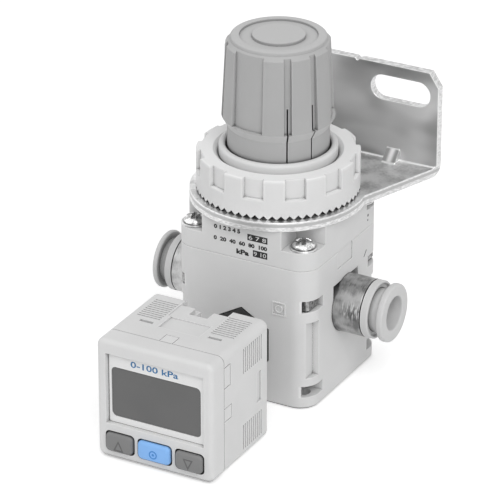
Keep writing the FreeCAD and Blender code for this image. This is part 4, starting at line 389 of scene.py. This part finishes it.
def zinc_sheet():
    """Zinc-plated steel sheet: clouded rolled faces, and sheared edges with a torn band along them.

    The faces are told from the edges by where they look and where they lie, and the lying faces are
    painted lighter as painted light. The pressed darts across the bend carry a painted highlight on
    their crests, and so does the bend itself; the edges get painted highlights and hollows painted shade.
    """
    paint = Paint("zinc_sheet", Metallic=1.0)
    y, z = paint.axis("Y"), paint.axis("Z")
    low = 1.0 - paint.ramp(z, SHEET_Z1 + 0.4, SHEET_Z1 + 0.6)
    flat = paint.ramp(abs(paint.facing("Z")), *FACE_TURN) * low
    back = paint.ramp(y, SHEET_BACK_Y, SHEET_BACK_Y + 1.0)
    upright = paint.ramp(abs(paint.facing("Y")), *FACE_TURN) * back
    before_wall = 1.0 - paint.ramp(y, SHEET_BACK_Y + 1.4, SHEET_BACK_Y + 1.7)
    dart = paint.ramp(z, SHEET_Z1 + 0.2, SHEET_Z1 + 0.5) * before_wall
    sheared = (1.0 - (flat + upright).math("MINIMUM", 1.0)) * (1.0 - dart)
    clouds = paint.noise(0.06, 2.0, stretch=(0.8, 1.0, 1.2), shift=2.0)
    face = paint.mix(paint.ramp(clouds, 0.38, 0.62), *greys(UPRIGHT_GREYS))
    specks = paint.noise(1.6, 5.0, shift=3.0)
    blooms = paint.noise(0.16, 4.0, shift=8.0)
    # Lying faces get lighter greys: painted light.
    lying_lit = paint.mix(paint.ramp(blooms * 0.8 + specks * 0.2, 0.36, 0.64), *greys(LYING_LIT_GREYS))
    face = paint.mix(flat, face, lying_lit)
    grains = paint.noise(1.5, 3.0, stretch=(0.6, 0.6, 2.2), shift=9.0)
    edge = paint.mix(paint.ramp(grains, 0.3, 0.7), *greys(SHEARED_GREYS))
    below_top = 1.0 - paint.ramp(z, SHEET_Z1 - 0.5, SHEET_Z1 - 0.35)
    torn = paint.ramp(z, SHEET_Z0 + 1.0, SHEET_Z0 + 1.15) * below_top
    edge = paint.mix(torn * grains, edge, grey(TORN_GREY))
    base = paint.mix(sheared, face, edge)
    # Painted highlights on the edges, painted shade in hollows.
    base = paint.mix(paint.rims(0.3) * HIGHLIGHT_SHARE, base, grey(EDGE_HIGHLIGHT_GREY))
    base = paint.mix(paint.hollows(0.5) * 0.8, base, grey(ZINC_HOLLOW_GREY))
    # Painted highlights along the bend and along the crest of each dart.
    bend = paint.ramp(abs(paint.facing("Y") * paint.facing("Z")), 0.16, 0.4)
    base = paint.mix(bend * (1.0 - dart) * 0.9, base, grey(BRIGHT_GREY))
    crest = 1.0 - paint.ramp(abs(abs(paint.axis("X")) - DART_X), 0.1, 1.1)
    base = paint.mix(dart, base, paint.mix(crest, *greys(DART_GREYS)))
    base = paint.mix(paint.ramp(paint.facing("Y"), 0.5, 0.9) * 0.6, base, grey(BACK_GREY))
    roughness = specks * 0.08 + 0.32
    normal = paint.bump(specks, 0.004, paint.soft_edges(0.3))
    return paint.feed(Base_Color=base, Roughness=roughness, Normal=normal)


def plated(name, dark, light, rough, clouds=0.5, gap=0.6):
    """Bright plated metal with clouds of tarnish, painted highlights on its edges and painted shade in its
    corners.
    """
    paint = Paint(name, Metallic=1.0)
    share = paint.ramp(paint.noise(clouds, 4.0), 0.36, 0.64)
    base = paint.mix(share, grey(dark), grey(light))
    # Painted highlights on the edges, painted shade in the corners.
    base = paint.mix(paint.rims(0.2) * 0.7, base, grey(BRIGHT_GREY))
    base = paint.mix(paint.hollows(gap), base, shade(grey(dark), PLATE_HOLLOW_SHADE))
    roughness = paint.noise(1.7, 2.0, shift=5.0) * 0.16 + rough
    normal = paint.bump(paint.noise(2.6, 2.0), 0.003, paint.soft_edges(0.12))
    return paint.feed(Base_Color=base, Roughness=roughness, Normal=normal)


def turned_nickel():
    """Nickel plate on a turned sleeve: fine rings round its axis, clouds, bright scuffs in a band of
    painted highlight, and painted shade in its hollows.
    """
    paint = Paint("turned_nickel", Metallic=1.0)
    rings = paint.noise(2.2, 4.0, stretch=(6.0, 0.25, 0.25))
    clouds = paint.noise(0.3, 4.0, shift=4.0)
    share = paint.ramp(rings * 0.3 + clouds * 0.7, 0.38, 0.62)
    base = paint.mix(share, *greys(NICKEL_GREYS))
    # Bright scuffs, gathered into a band of painted highlight at one height of one sleeve, then painted
    # shade in hollows.
    scuffs = paint.ramp(paint.noise(1.1, 2.0, stretch=(3.2, 0.4, 0.4), shift=6.0), 0.47, 0.58)
    highlight_band = 1.0 - paint.ramp(abs(paint.axis("Z") - SCUFF_HIGHLIGHT_Z), 0.3, 2.6)
    here = paint.ramp(paint.axis("X"), 19.6, 21.0)
    base = paint.mix(scuffs * highlight_band * here * 0.9, base, grey(SCUFF_HIGHLIGHT_GREY))
    base = paint.mix(paint.hollows(0.8), base, grey(NICKEL_HOLLOW_GREY))
    normal = paint.bump(rings, 0.006, paint.soft_edges(0.2))
    return paint.feed(Base_Color=base, Roughness=rings * 0.2 + 0.22, Normal=normal)


def coloured_metal(name, tone):
    """Machined metal of a colour, with fine turning marks."""
    paint = Paint(name, Metallic=1.0)
    marks = paint.noise(1.9, 3.0, stretch=(0.4, 0.4, 4.0))
    base = paint.mix(marks, shade(tone, 0.8), tone)
    normal = paint.bump(marks, 0.01, paint.soft_edges(0.1))
    return paint.feed(Base_Color=base, Roughness=marks * 0.15 + 0.28, Normal=normal)


def seal_rubber():
    """Black seal rubber with a dull, finely pitted skin."""
    paint = Paint("seal_rubber", Specular_IOR_Level=0.3)
    pits = paint.noise(3.5, 3.0)
    base = paint.mix(pits, *greys(RUBBER_GREYS))
    return paint.feed(Base_Color=base, Roughness=pits * 0.2 + 0.55, Normal=paint.bump(pits, 0.02))


def board_laminate():
    """Glass laminate of the circuit board, with the weave showing faintly under its mask."""
    paint = Paint("board_laminate", Specular_IOR_Level=0.5)
    weave = paint.axis("X").math("SINE") * paint.axis("Z").math("SINE")
    base = paint.mix(paint.ramp(weave, -0.5, 0.5), *[colour(*green) for green in BOARD_GREENS])
    return paint.feed(Base_Color=base, Roughness=weave * 0.05 + 0.35, Normal=paint.bump(weave, 0.01))


def ink(name, tone):
    """Printed ink, slightly uneven."""
    paint = Paint(name, Specular_IOR_Level=0.3)
    patches = paint.noise(2.5, 2.0)
    base = paint.mix(patches, tone, tuple(min(1.0, c * INK_PALER + INK_LIFT) for c in tone[:3]) + (1.0,))
    return paint.feed(Base_Color=base, Roughness=patches * 0.2 + 0.5)


MATERIALS = {
    "body_resin": moulded_resin("body_moulding", grey(BODY_GREY), edge=0.25, gap_shade=0.3, pit=2.2),
    # The nut and the knob get painted light on faces that look up, and the knob also on faces that look
    # down.
    "nut_resin": moulded_resin("nut_moulding", grey(NUT_GREY), edge=0.4, gap=0.9, gap_shade=0.6, pit=0.8,
                               painted_top_light=1.2, highlight_reach=0.6),
    "knob_resin": moulded_resin("knob_moulding", grey(KNOB_GREY), edge=0.2, rough=0.55, gap=0.8,
                                painted_top_light=1.28, painted_under_light=1.3),
    "collar_resin": moulded_resin("collar_moulding", grey(COLLAR_GREY), edge=0.15, gap=1.0, gap_shade=0.4,
                                  pit=1.5),
    "switch_resin": moulded_resin("switch_moulding", grey(SWITCH_GREY), edge=0.12, rough=0.45,
                                  gap_shade=0.45, pit=0.2, seam=COVER_SEAM_Y),
    "button_resin": moulded_resin("key_moulding", grey(KEY_GREY), edge=0.15, rough=0.45),
    "blue_resin": moulded_resin("blue_moulding", colour(*KEY_BLUE), edge=0.15, rough=0.45),
    "black_resin": moulded_resin("black_moulding", grey(BLACK_GREY), edge=0.15, rough=0.4),
    "window_resin": smoked_window(),
    "display_resin": moulded_resin("display_moulding", grey(DISPLAY_GREY), edge=0.1, rough=0.35),
    "zinc_steel": zinc_sheet(),
    "bright_steel": plated("bright_plate", dark=188, light=236, rough=0.24),
    "nickel": turned_nickel(),
    "brass": coloured_metal("brass_metal", colour(*BRASS_TONE)),
    "aluminium": coloured_metal("aluminium_metal", grey(ALUMINIUM_GREY)),
    "rubber": seal_rubber(),
    "board_laminate": board_laminate(),
}
# The cover's painted shade in gaps reaches further, so that the walls of its panel recess are darker.
COVER = moulded_resin("cover_moulding", grey(SWITCH_GREY), edge=0.12, rough=0.45, gap=2.0,
                      seam=COVER_SEAM_Y)
# The pump side's button gets far-reaching, strong painted shade in its gaps; the set side's gets milder
# painted shade.
RELEASES = {
    "pump": moulded_resin("pump_release_moulding", grey(COLLAR_GREY - 4), gap=6.0, gap_shade=1.0, pit=3.5),
    "set": moulded_resin("set_release_moulding", grey(COLLAR_GREY - 2), gap=1.6, pit=1.0),
}
NUT_PLATE = plated("nut_plate", dark=104, light=168, rough=0.36, clouds=1.4)
PANEL = moulded_resin("panel_sheet_resin", grey(SWITCH_GREY), edge=0.08, rough=0.4, gap_shade=0.2, pit=0.2)
SCREW_PLATE = plated("screw_plate", dark=172, light=248, rough=0.16, clouds=1.1, gap=1.5)
BLACK_INK = ink("black_ink", grey(INK_GREY))
BLUE_INK = ink("blue_ink", colour(*PRINT_BLUE))
PALE_INK = ink("pale_ink", grey(PALE_INK_GREY))
KEY_INK = ink("key_ink", grey(KEY_INK_GREY))
DEEP_BLUE_INK = ink("deep_blue_ink", colour(*DEEP_BLUE))
# The right side's dark spots, and a dark bar that is painted shadow.
SIDE_DARK_MARKS = ink("side_dark_marks", grey(SIDE_DARK_GREY))
BONNET = moulded_resin("bonnet_moulding", grey(BODY_GREY), edge=0.25, gap_shade=0.25, pit=0.6)
OWN_LOOKS = {"front_cover": COVER, "square_nuts": NUT_PLATE, "bonnet": BONNET,
             "connector_socket": MATERIALS["switch_resin"]}
NODE_SLOTS = {name: node.data.materials[0].name for name, node in NODES.items()}


def dress_nodes():
    """Every node of the frame gets its own look, or else the material of its slot."""
    for name, node in NODES.items():
        node.data.materials.clear()
        node.data.materials.append(OWN_LOOKS.get(name) or MATERIALS[NODE_SLOTS[name]])


dress_nodes()


def piece(name, parts, body, material):
    """One object made of closed meshes, each given as its points in millimetres and its faces."""
    points, faces, start = [], [], 0
    for part_points, part_faces in parts:
        points.append(part_points)
        faces += [[start + corner for corner in face] for face in part_faces]
        start += len(part_points)
    mesh = bpy.data.meshes.new(name)
    mesh.from_pydata((np.concatenate(points) * MM).tolist(), [], faces)
    work = bmesh.new()
    work.from_mesh(mesh)
    bmesh.ops.recalc_face_normals(work, faces=work.faces[:])
    work.to_mesh(mesh)
    work.free()
    mesh.polygons.foreach_set("use_smooth", [True] * len(mesh.polygons))
    mesh.set_sharp_from_angle(angle=SMOOTH_ANGLE)
    mesh.materials.append(material)
    holder = bpy.data.objects.new(name, mesh)
    bpy.context.scene.collection.objects.link(holder)
    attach(holder, body)
    return holder


def on_front(flat, y):
    """Points of a front face, from their places (x, z) on it and its y."""
    return np.column_stack([flat[:, 0], np.full(len(flat), y), flat[:, 1]])


def on_side(flat, x):
    """Points of the face towards +X, from their places (y, z) on it and its x."""
    return np.column_stack([np.full(len(flat), x), flat[:, 0], flat[:, 1]])


def grid_faces(rows, columns, close_rows=False):
    """Quads of a grid whose columns go round; its rows are open or go round too."""
    row, column = np.meshgrid(np.arange(rows if close_rows else rows - 1), np.arange(columns),
                              indexing="ij")
    below, right = (row + 1) % rows, (column + 1) % columns
    corners = [row * columns + column, row * columns + right, below * columns + right,
               below * columns + column]
    return np.stack(corners, axis=-1).reshape(-1, 4).tolist()


def end_faces(rows, columns):
    """The two faces that close an open grid whose columns go round."""
    return [list(range(columns)), list(range((rows - 1) * columns, rows * columns))]


def slab(outline, base, top, place=on_front):
    """A thin plate: its outline in two planes, joined by a wall and closed by both outlines."""
    count = len(outline)
    points = np.concatenate([place(outline, base), place(outline, top)])
    return points, grid_faces(2, count) + end_faces(2, count)


def ridge(outer, inner, base, top, slope=0.0):
    """A closed band between two outlines: four loops, the upper two drawn in by the slope."""
    drift = (inner - outer) * slope
    loops = [on_front(outer, base), on_front(outer + drift, top), on_front(inner - drift, top),
             on_front(inner, base)]
    return np.concatenate(loops), grid_faces(4, len(outer), close_rows=True)


def rectangle(x0, x1, z0, z1):
    """The corners of a rectangle, in turn."""
    return np.array([(x0, z0), (x1, z0), (x1, z1), (x0, z1)], float)


def round_outline(x, z, radius, count=CIRCLE_SIDES):
    """Points on a circle: the centre plus the radius times cosine and sine of equal angles."""
    angle = np.linspace(0.0, 2.0 * math.pi, count, endpoint=False)
    return np.column_stack([x + radius * np.cos(angle), z + radius * np.sin(angle)])


def rounded(x0, x1, z0, z1, radius):
    """A rectangle with round corners: quarter circles of equal angles about four centres."""
    angle = np.linspace(0.0, math.pi / 2.0, CORNER_POINTS)
    centres = [(x1 - radius, z1 - radius), (x0 + radius, z1 - radius), (x0 + radius, z0 + radius),
               (x1 - radius, z0 + radius)]
    corners = []
    for (x, z), turn in zip(centres, np.arange(4) * math.pi / 2.0):
        corners.append(np.column_stack([x + radius * np.cos(angle + turn),
                                        z + radius * np.sin(angle + turn)]))
    return np.concatenate(corners)


def eased(profile):
    """A closed outline of (place, radius, ease).

    Each corner is eased by a parabola that leaves one side and meets the other at the ease's
    distance from the corner.
    """
    t = np.linspace(0.0, 1.0, EASE_POINTS)[:, None]
    corners = np.array([corner[:2] for corner in profile])
    points = []
    for i, (_, _, ease) in enumerate(profile):
        before, here, after = corners[i - 1], corners[i], corners[(i + 1) % len(corners)]
        if ease == 0.0:
            points.append(here[None, :])
            continue
        start = here + (before - here) / np.linalg.norm(before - here) * ease
        end = here + (after - here) / np.linalg.norm(after - here) * ease
        points.append((1.0 - t) ** 2 * start + 2.0 * t * (1.0 - t) * here + t ** 2 * end)
    return np.concatenate(points)


def lathe(outline, sign):
    """A ring round a fitting's axis: the outline's radius times cosine and sine, along X."""
    angle = np.linspace(0.0, 2.0 * math.pi, RING_SIDES, endpoint=False)
    along, radius = outline[:, :1], outline[:, 1:]
    points = np.stack([sign * (along + 0.0 * angle), radius * np.cos(angle),
                       FITTING_Z + radius * np.sin(angle)], axis=-1)
    return points.reshape(-1, 3), grid_faces(len(outline), RING_SIDES, close_rows=True)


def band(outline, width, base, top, slope=0.0):
    """A line of a width along a convex closed outline, which is its outer side.

    Each corner moves inwards midway between its two sides, by the width over the cosine of half
    the turn there.
    """
    before, after = np.roll(outline, 1, axis=0), np.roll(outline, -1, axis=0)
    into, out_of = outline - before, after - outline
    into /= np.linalg.norm(into, axis=1)[:, None]
    out_of /= np.linalg.norm(out_of, axis=1)[:, None]
    inward = out_of - into
    length = np.linalg.norm(inward, axis=1)[:, None]
    inner = outline + inward / length * width / np.sqrt(1.0 - (length / 2.0) ** 2)
    return ridge(outline, inner, base, top, slope)


def lettering(words, left, right, low, high, base, top, weight=0.0):
    """Words as a thin relief on a front face, fitted into a rectangle of it.

    The place of each point in the words' own box, in shares from 0 to 1, gives its place between
    the edges of the rectangle.
    """
    curve = bpy.data.curves.new("lettering", "FONT")
    curve.body = words
    curve.resolution_u = LETTER_STEPS
    curve.extrude = 1.0
    curve.offset = weight
    holder = bpy.data.objects.new("lettering", curve)
    bpy.context.scene.collection.objects.link(holder)
    bpy.context.view_layer.update()
    made = holder.evaluated_get(bpy.context.evaluated_depsgraph_get())
    mesh = bpy.data.meshes.new_from_object(made)
    bpy.data.objects.remove(holder)
    bpy.data.curves.remove(curve)
    raw = np.empty(len(mesh.vertices) * 3)
    mesh.vertices.foreach_get("co", raw)
    raw = raw.reshape(-1, 3)
    faces = [list(polygon.vertices) for polygon in mesh.polygons]
    bpy.data.meshes.remove(mesh)
    share = (raw - raw.min(axis=0)) / np.ptp(raw, axis=0)
    points = np.column_stack([left + (right - left) * share[:, 0], base + (top - base) * share[:, 2],
                              low + (high - low) * share[:, 1]])
    return points, faces


def coil(radius, wire, low, high, turns):
    """A spring of round wire with closed, ground ends.

    The wire's centre goes round the axis and rises with the turns: a little in the first and in
    the last turn, and evenly between them. Points lie round the centre at the wire's radius,
    outwards and up, and are held between the two end planes, which grinds them.
    """
    count = TURN_STEPS * turns + 1
    turn = np.linspace(0.0, turns, count)
    ground, closed = wire * GROUND_RADII, wire * CLOSED_RADII
    rise = np.interp(turn, [0.0, 1.0, turns - 1.0, turns],
                     [low + ground, low + closed, high - closed, high - ground])
    angle, around = 2.0 * math.pi * turn, np.linspace(0.0, 2.0 * math.pi, WIRE_SIDES, endpoint=False)
    reach = radius + wire * np.cos(around)[None, :]
    points = np.stack([reach * np.cos(angle)[:, None], reach * np.sin(angle)[:, None],
                       np.clip(rise[:, None] + wire * np.sin(around)[None, :], low, high)], axis=-1)
    return points.reshape(-1, 3), grid_faces(count, WIRE_SIDES) + end_faces(count, WIRE_SIDES)


def screw_head(x, y, seat, turn):
    """A pan head with a cross recess: upright edge, then a dome, on rings of points.

    The rings go from under the head out to its edge, up and over the dome to its middle. The dome
    is the cap of a ball, by the square root of its radius squared less the ring's squared. Each
    point of the dome drops by the recess: the depth falls from the middle to the ends of four
    arms, and is smoothed to nothing across the sides of the arms.
    """
    angle = np.linspace(0.0, 2.0 * math.pi, HEAD_SIDES, endpoint=False)
    dome = np.linspace(HEAD_R, CENTRE_R, HEAD_RINGS)
    radius = np.concatenate([[CENTRE_R, SHANK_R, HEAD_R - HEAD_BREAK, HEAD_R], dome])
    crown_r = (HEAD_R ** 2 + (HEAD_H - HEAD_EDGE) ** 2) / (2.0 * (HEAD_H - HEAD_EDGE))
    height = HEAD_H - crown_r + np.sqrt(crown_r ** 2 - dome ** 2)
    level = np.concatenate([[0.0, 0.0, 0.0, HEAD_BREAK], height])
    across, along = radius[:, None] * np.cos(angle), radius[:, None] * np.sin(angle)
    arm = np.minimum(np.abs(across), np.abs(along))
    side = np.clip((ARM_W / 2.0 - arm) / ARM_SLOPE, 0.0, 1.0)
    depth = RECESS_DEPTH * np.clip(1.0 - radius / ARM_L, 0.0, 1.0)[:, None] ** RECESS_CURVE
    drop = np.where(level[:, None] > HEAD_EDGE, side * side * (3.0 - 2.0 * side) * depth, 0.0)
    c, s = math.cos(turn), math.sin(turn)
    points = np.stack([x + across * c - along * s, y + across * s + along * c,
                       seat + level[:, None] - drop], axis=-1)
    rows = len(radius)
    return points.reshape(-1, 3), grid_faces(rows, HEAD_SIDES) + end_faces(rows, HEAD_SIDES)


def screw_thread(x, y, low, high):
    """A threaded shank: the radius falls from the crest with the distance to the nearest turn.

    The turn that a point belongs to is its height over the pitch less its angle over a full turn.
    At the tip the radius grows evenly from a share to the whole.
    """
    rows = int((high - low) / THREAD_PITCH * THREAD_ROWS)
    angle = np.linspace(0.0, 2.0 * math.pi, THREAD_SIDES, endpoint=False)[None, :]
    level = np.linspace(low, high, rows)[:, None]
    phase = (level / THREAD_PITCH - angle / (2.0 * math.pi)) % 1.0
    radius = SHANK_R - THREAD_DEPTH * (1.0 - np.abs(2.0 * phase - 1.0))
    radius = radius * np.clip((level - low) / TIP_L + TIP_SHARE, 0.0, 1.0)
    points = np.stack([x + radius * np.cos(angle), y + radius * np.sin(angle),
                       level + 0.0 * angle], axis=-1)
    return points.reshape(-1, 3), grid_faces(rows, THREAD_SIDES) + end_faces(rows, THREAD_SIDES)


def corner_screws():
    """The four corner screws, their recesses turned as the driver left them."""
    low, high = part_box("bonnet_screws")
    seat = high.z * PER_M - HEAD_H
    places = [(sx * SCREW_X, sy * SCREW_X) for sx in (-1, 1) for sy in (-1, 1)]
    parts = []
    for (x, y), turn in zip(places, RECESS_TURNS):
        parts += [screw_head(x, y, seat, math.radians(turn)),
                  screw_thread(x, y, low.z * PER_M, seat + THREAD_SINK)]
    holder = piece("corner_screws", parts, "root", SCREW_PLATE)
    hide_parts("bonnet_screws")


def spring(name, node, wire, turns, room):
    """A coil spring in its plain solid's place, with room under it."""
    low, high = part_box(node)
    z0, z1 = low.z * PER_M + room, high.z * PER_M
    radius = (high.x - low.x) / 2.0 * PER_M - wire
    holder = piece(name, [coil(radius, wire, z0, z1, turns)], "root", MATERIALS["bright_steel"])
    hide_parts(node)
    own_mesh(holder)


def release_buttons():
    """The two release buttons: an inner lip, a barrel and a rounded flange to press."""
    for side, (back, face) in RELEASE_FACES.items():
        sign = 1.0 if side == "set" else -1.0
        node = side + "_release_button"
        low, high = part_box(node)
        start = min(abs(low.x), abs(high.x)) * PER_M
        lip_start, lip_end = start + LIP_R - BARREL_R, start + LIP_L
        outline = eased([
            (start, TUBE_R, TAIL_EASE), (start, BARREL_R, 0.0), (lip_start, LIP_R, 0.0),
            (lip_end, LIP_R, 0.0), (lip_end, BARREL_R, 0.0), (back, BARREL_R, NECK_EASE),
            (back, FLANGE_R, FLANGE_EASE), (face, FLANGE_R, FLANGE_EASE), (face, TUBE_R, MOUTH_EASE),
        ])
        body = side + "_release"
        holder = piece(body, [lathe(outline, sign)], body, RELEASES[side])
        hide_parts(node)


def key_outline(x, width, grow):
    """The outline of a key, larger by a margin all round."""
    half, high = width / 2.0 + grow, KEY_H / 2.0 + grow
    return rounded(x - half, x + half, KEY_Z - high, KEY_Z + high, KEY_CORNER)


def keys():
    """The three keys: a cap with a soft edge, a flange behind the cover and a stem.

    The cap is a stack of outlines. Towards the face they draw in with one minus the cosine and
    come forward with the sine of an angle that goes from nothing to a quarter turn.
    """
    for body, (x, width) in KEYS.items():
        node = body.replace("key", "button")
        low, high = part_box(node)
        turn = np.linspace(0.0, math.pi / 2.0, KEY_EDGE_ROWS)
        levels = [(0.0, KEY_BACK_Y)] + list(zip(KEY_DRAW * (1.0 - np.cos(turn)),
                                               KEY_FACE_Y + KEY_FALL * (1.0 - np.sin(turn))))
        outlines = [on_front(key_outline(x, width, -draw), y) for draw, y in levels]
        rows, count = len(outlines), len(outlines[0])
        cap = (np.concatenate(outlines), grid_faces(rows, count) + end_faces(rows, count))
        flange = slab(key_outline(x, width, KEY_FLANGE), KEY_BACK_Y, KEY_FLANGE_Y)
        stem = slab(round_outline(x, KEY_Z, KEY_STEM_R, STEM_SIDES), high.y * PER_M, KEY_FLANGE_Y)
        slot = "blue_resin" if body == "key_set" else "button_resin"
        holder = piece(body + "_cap", [cap, flange, stem], body, MATERIALS[slot])
        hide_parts(node)


def panel_sheet():
    """The sheet over the recessed panel, with the opening of the display window."""
    outer = rounded(*SHEET_OUTLINE, SHEET_CORNER)
    inner = rounded(*WINDOW_OUTLINE, WINDOW_CORNER)
    sheet = ridge(outer, inner, PANEL_Y + INK_SINK, PANEL_Y - PANEL_SHEET_T)
    piece("panel_sheet", [sheet], "root", PANEL)


def front_label():
    """The small print on the front of the bonnet: a plain scale, and two dark fields."""
    base, top, high = BODY_FRONT_Y + INK_SINK, BODY_FRONT_Y - INK_T, BODY_FRONT_Y - 2 * INK_T
    dark = [lettering(*words, base, top, weight=LABEL_WEIGHT) for words in LABEL_WORDS]
    dark += [slab(rectangle(*field), base, top) for field in LABEL_FIELDS]
    piece("front_label", dark, "root", BLACK_INK)
    light = [lettering(*numbers, top + INK_SINK / 2.0, high) for numbers in LABEL_NUMBERS]
    piece("front_label_numbers", light, "root", PALE_INK)


def display_label():
    """The blue print over the display window: the range of a plain scale."""
    face = PANEL_Y - PANEL_SHEET_T
    words = lettering(*DISPLAY_WORDS, face + INK_SINK, face - INK_T, weight=DISPLAY_WEIGHT)
    piece("display_label", [words], "root", BLUE_INK)


def key_marks():
    """A triangle on each outer key, up and down, and a ring with a dot on the middle one."""
    base, top = KEY_FACE_Y + INK_SINK, KEY_FACE_Y - INK_T
    up = np.array([(-TRIANGLE_W, -TRIANGLE_H), (TRIANGLE_W, -TRIANGLE_H), (0.0, TRIANGLE_H)])
    for name, body, sign in (("up_mark", "key_up", 1.0), ("down_mark", "key_down", -1.0)):
        outline = up * sign + (KEYS[body][0], TRIANGLE_Z)
        piece(name, [band(outline, KEY_LINE_W, base, top)], body, KEY_INK)
    ring = band(round_outline(0.0, KEY_RING_Z, KEY_RING_R), KEY_LINE_W, base, top)
    dot = slab(round_outline(0.0, KEY_RING_Z, KEY_DOT_R, DOT_SIDES), base, top)
    piece("set_mark", [ring, dot], "key_set", DEEP_BLUE_INK)


def moulded_marks():
    """A square with a ring in it, raised on the front; on the right side dark spots and a bar of painted
    shadow.
    """
    base, top = BODY_FRONT_Y + RIDGE_SINK, BODY_FRONT_Y - RIDGE_H
    outlines = [rectangle(*FRONT_SQUARE), round_outline(*FRONT_RING)]
    parts = [band(outline, RIDGE_W, base, top, RIDGE_SLOPE) for outline in outlines]
    piece("moulded_mark", parts, "root", MATERIALS["body_resin"])
    base, top = BODY_SIDE_X - INK_SINK, BODY_SIDE_X + INK_T
    outlines = [round_outline(*spot, SPOT_SIDES) for spot in SIDE_SPOTS] + [np.array(SIDE_BAR)]
    marks = [slab(outline, base, top, on_side) for outline in outlines]
    piece("side_marks", marks, "root", SIDE_DARK_MARKS)


spring("setting_spring_coil", "setting_spring", SETTING_WIRE_R, SETTING_TURNS,
       SETTING_ROOM)
spring("valve_spring_coil", "valve_spring", VALVE_WIRE_R, VALVE_TURNS,
       VALVE_ROOM)
corner_screws()
release_buttons()
keys()
panel_sheet()
front_label()
display_label()
key_marks()
moulded_marks()


def studio():
    """A soft plain light from all round, brighter from the right and above."""
    world = bpy.data.worlds.new("studio_world")
    bpy.context.scene.world = world
    tree = NodeTree(world)
    strength = tree.add("ShaderNodeMapRange", None,
                        {"Value": tree.seen_directly(), "To Min": ROUND_LIGHT, "To Max": 1.0})
    background = tree.nodes["Background"]
    background.inputs["Color"].default_value = WHITE
    tree.links.new(strength.socket, background.inputs["Strength"])
    for name, (place, size, power) in LAMPS.items():
        lamp = bpy.data.lights.new(name, "AREA")
        lamp.size = size
        lamp.energy = power
        holder = bpy.data.objects.new(name, lamp)
        holder.location = place
        towards = LAMPS_AIM - Vector(place)
        holder.rotation_euler = towards.to_track_quat("-Z", "Y").to_euler()
        bpy.context.scene.collection.objects.link(holder)


def pale_floor():
    """A plain pale floor, which also glows where it is seen directly, so that it shows as white."""
    paint = Paint("floor", Base_Color=grey(FLOOR_GREY), Roughness=FLOOR_ROUGHNESS,
                  Specular_IOR_Level=FLOOR_GLOSS, Emission_Color=WHITE)
    return paint.feed(Emission_Strength=paint.seen_directly() * FLOOR_GLOW)


def floor():
    """A wide plain floor that shows as white and keeps the shadow of the regulator."""
    mesh = bpy.data.meshes.new("floor")
    corners = [(x * FLOOR_HALF, y * FLOOR_HALF, 0.0) for x, y in ((-1, -1), (1, -1), (1, 1), (-1, 1))]
    mesh.from_pydata(corners, [], [(0, 1, 2, 3)])
    plane = bpy.data.objects.new("floor", mesh)
    bpy.context.scene.collection.objects.link(plane)
    mesh.materials.append(pale_floor())


def camera():
    """The camera at the photograph's angle."""
    lens = bpy.data.cameras.new("camera")
    lens.lens, lens.sensor_width = CAMERA_LENS, CAMERA_SENSOR
    lens.clip_start, lens.clip_end = CAMERA_NEAR, CAMERA_FAR
    holder = bpy.data.objects.new("camera", lens)
    back = Vector((math.sin(CAMERA_AZIMUTH) * math.cos(CAMERA_ELEVATION),
                   -math.cos(CAMERA_AZIMUTH) * math.cos(CAMERA_ELEVATION),
                   math.sin(CAMERA_ELEVATION)))
    holder.location = CAMERA_TARGET + back * CAMERA_DISTANCE
    holder.rotation_euler = (-back).to_track_quat("-Z", "Y").to_euler()
    bpy.context.scene.collection.objects.link(holder)
    bpy.context.scene.camera = holder


studio()
floor()
camera()
bpy.context.scene.view_settings.view_transform = "Standard"
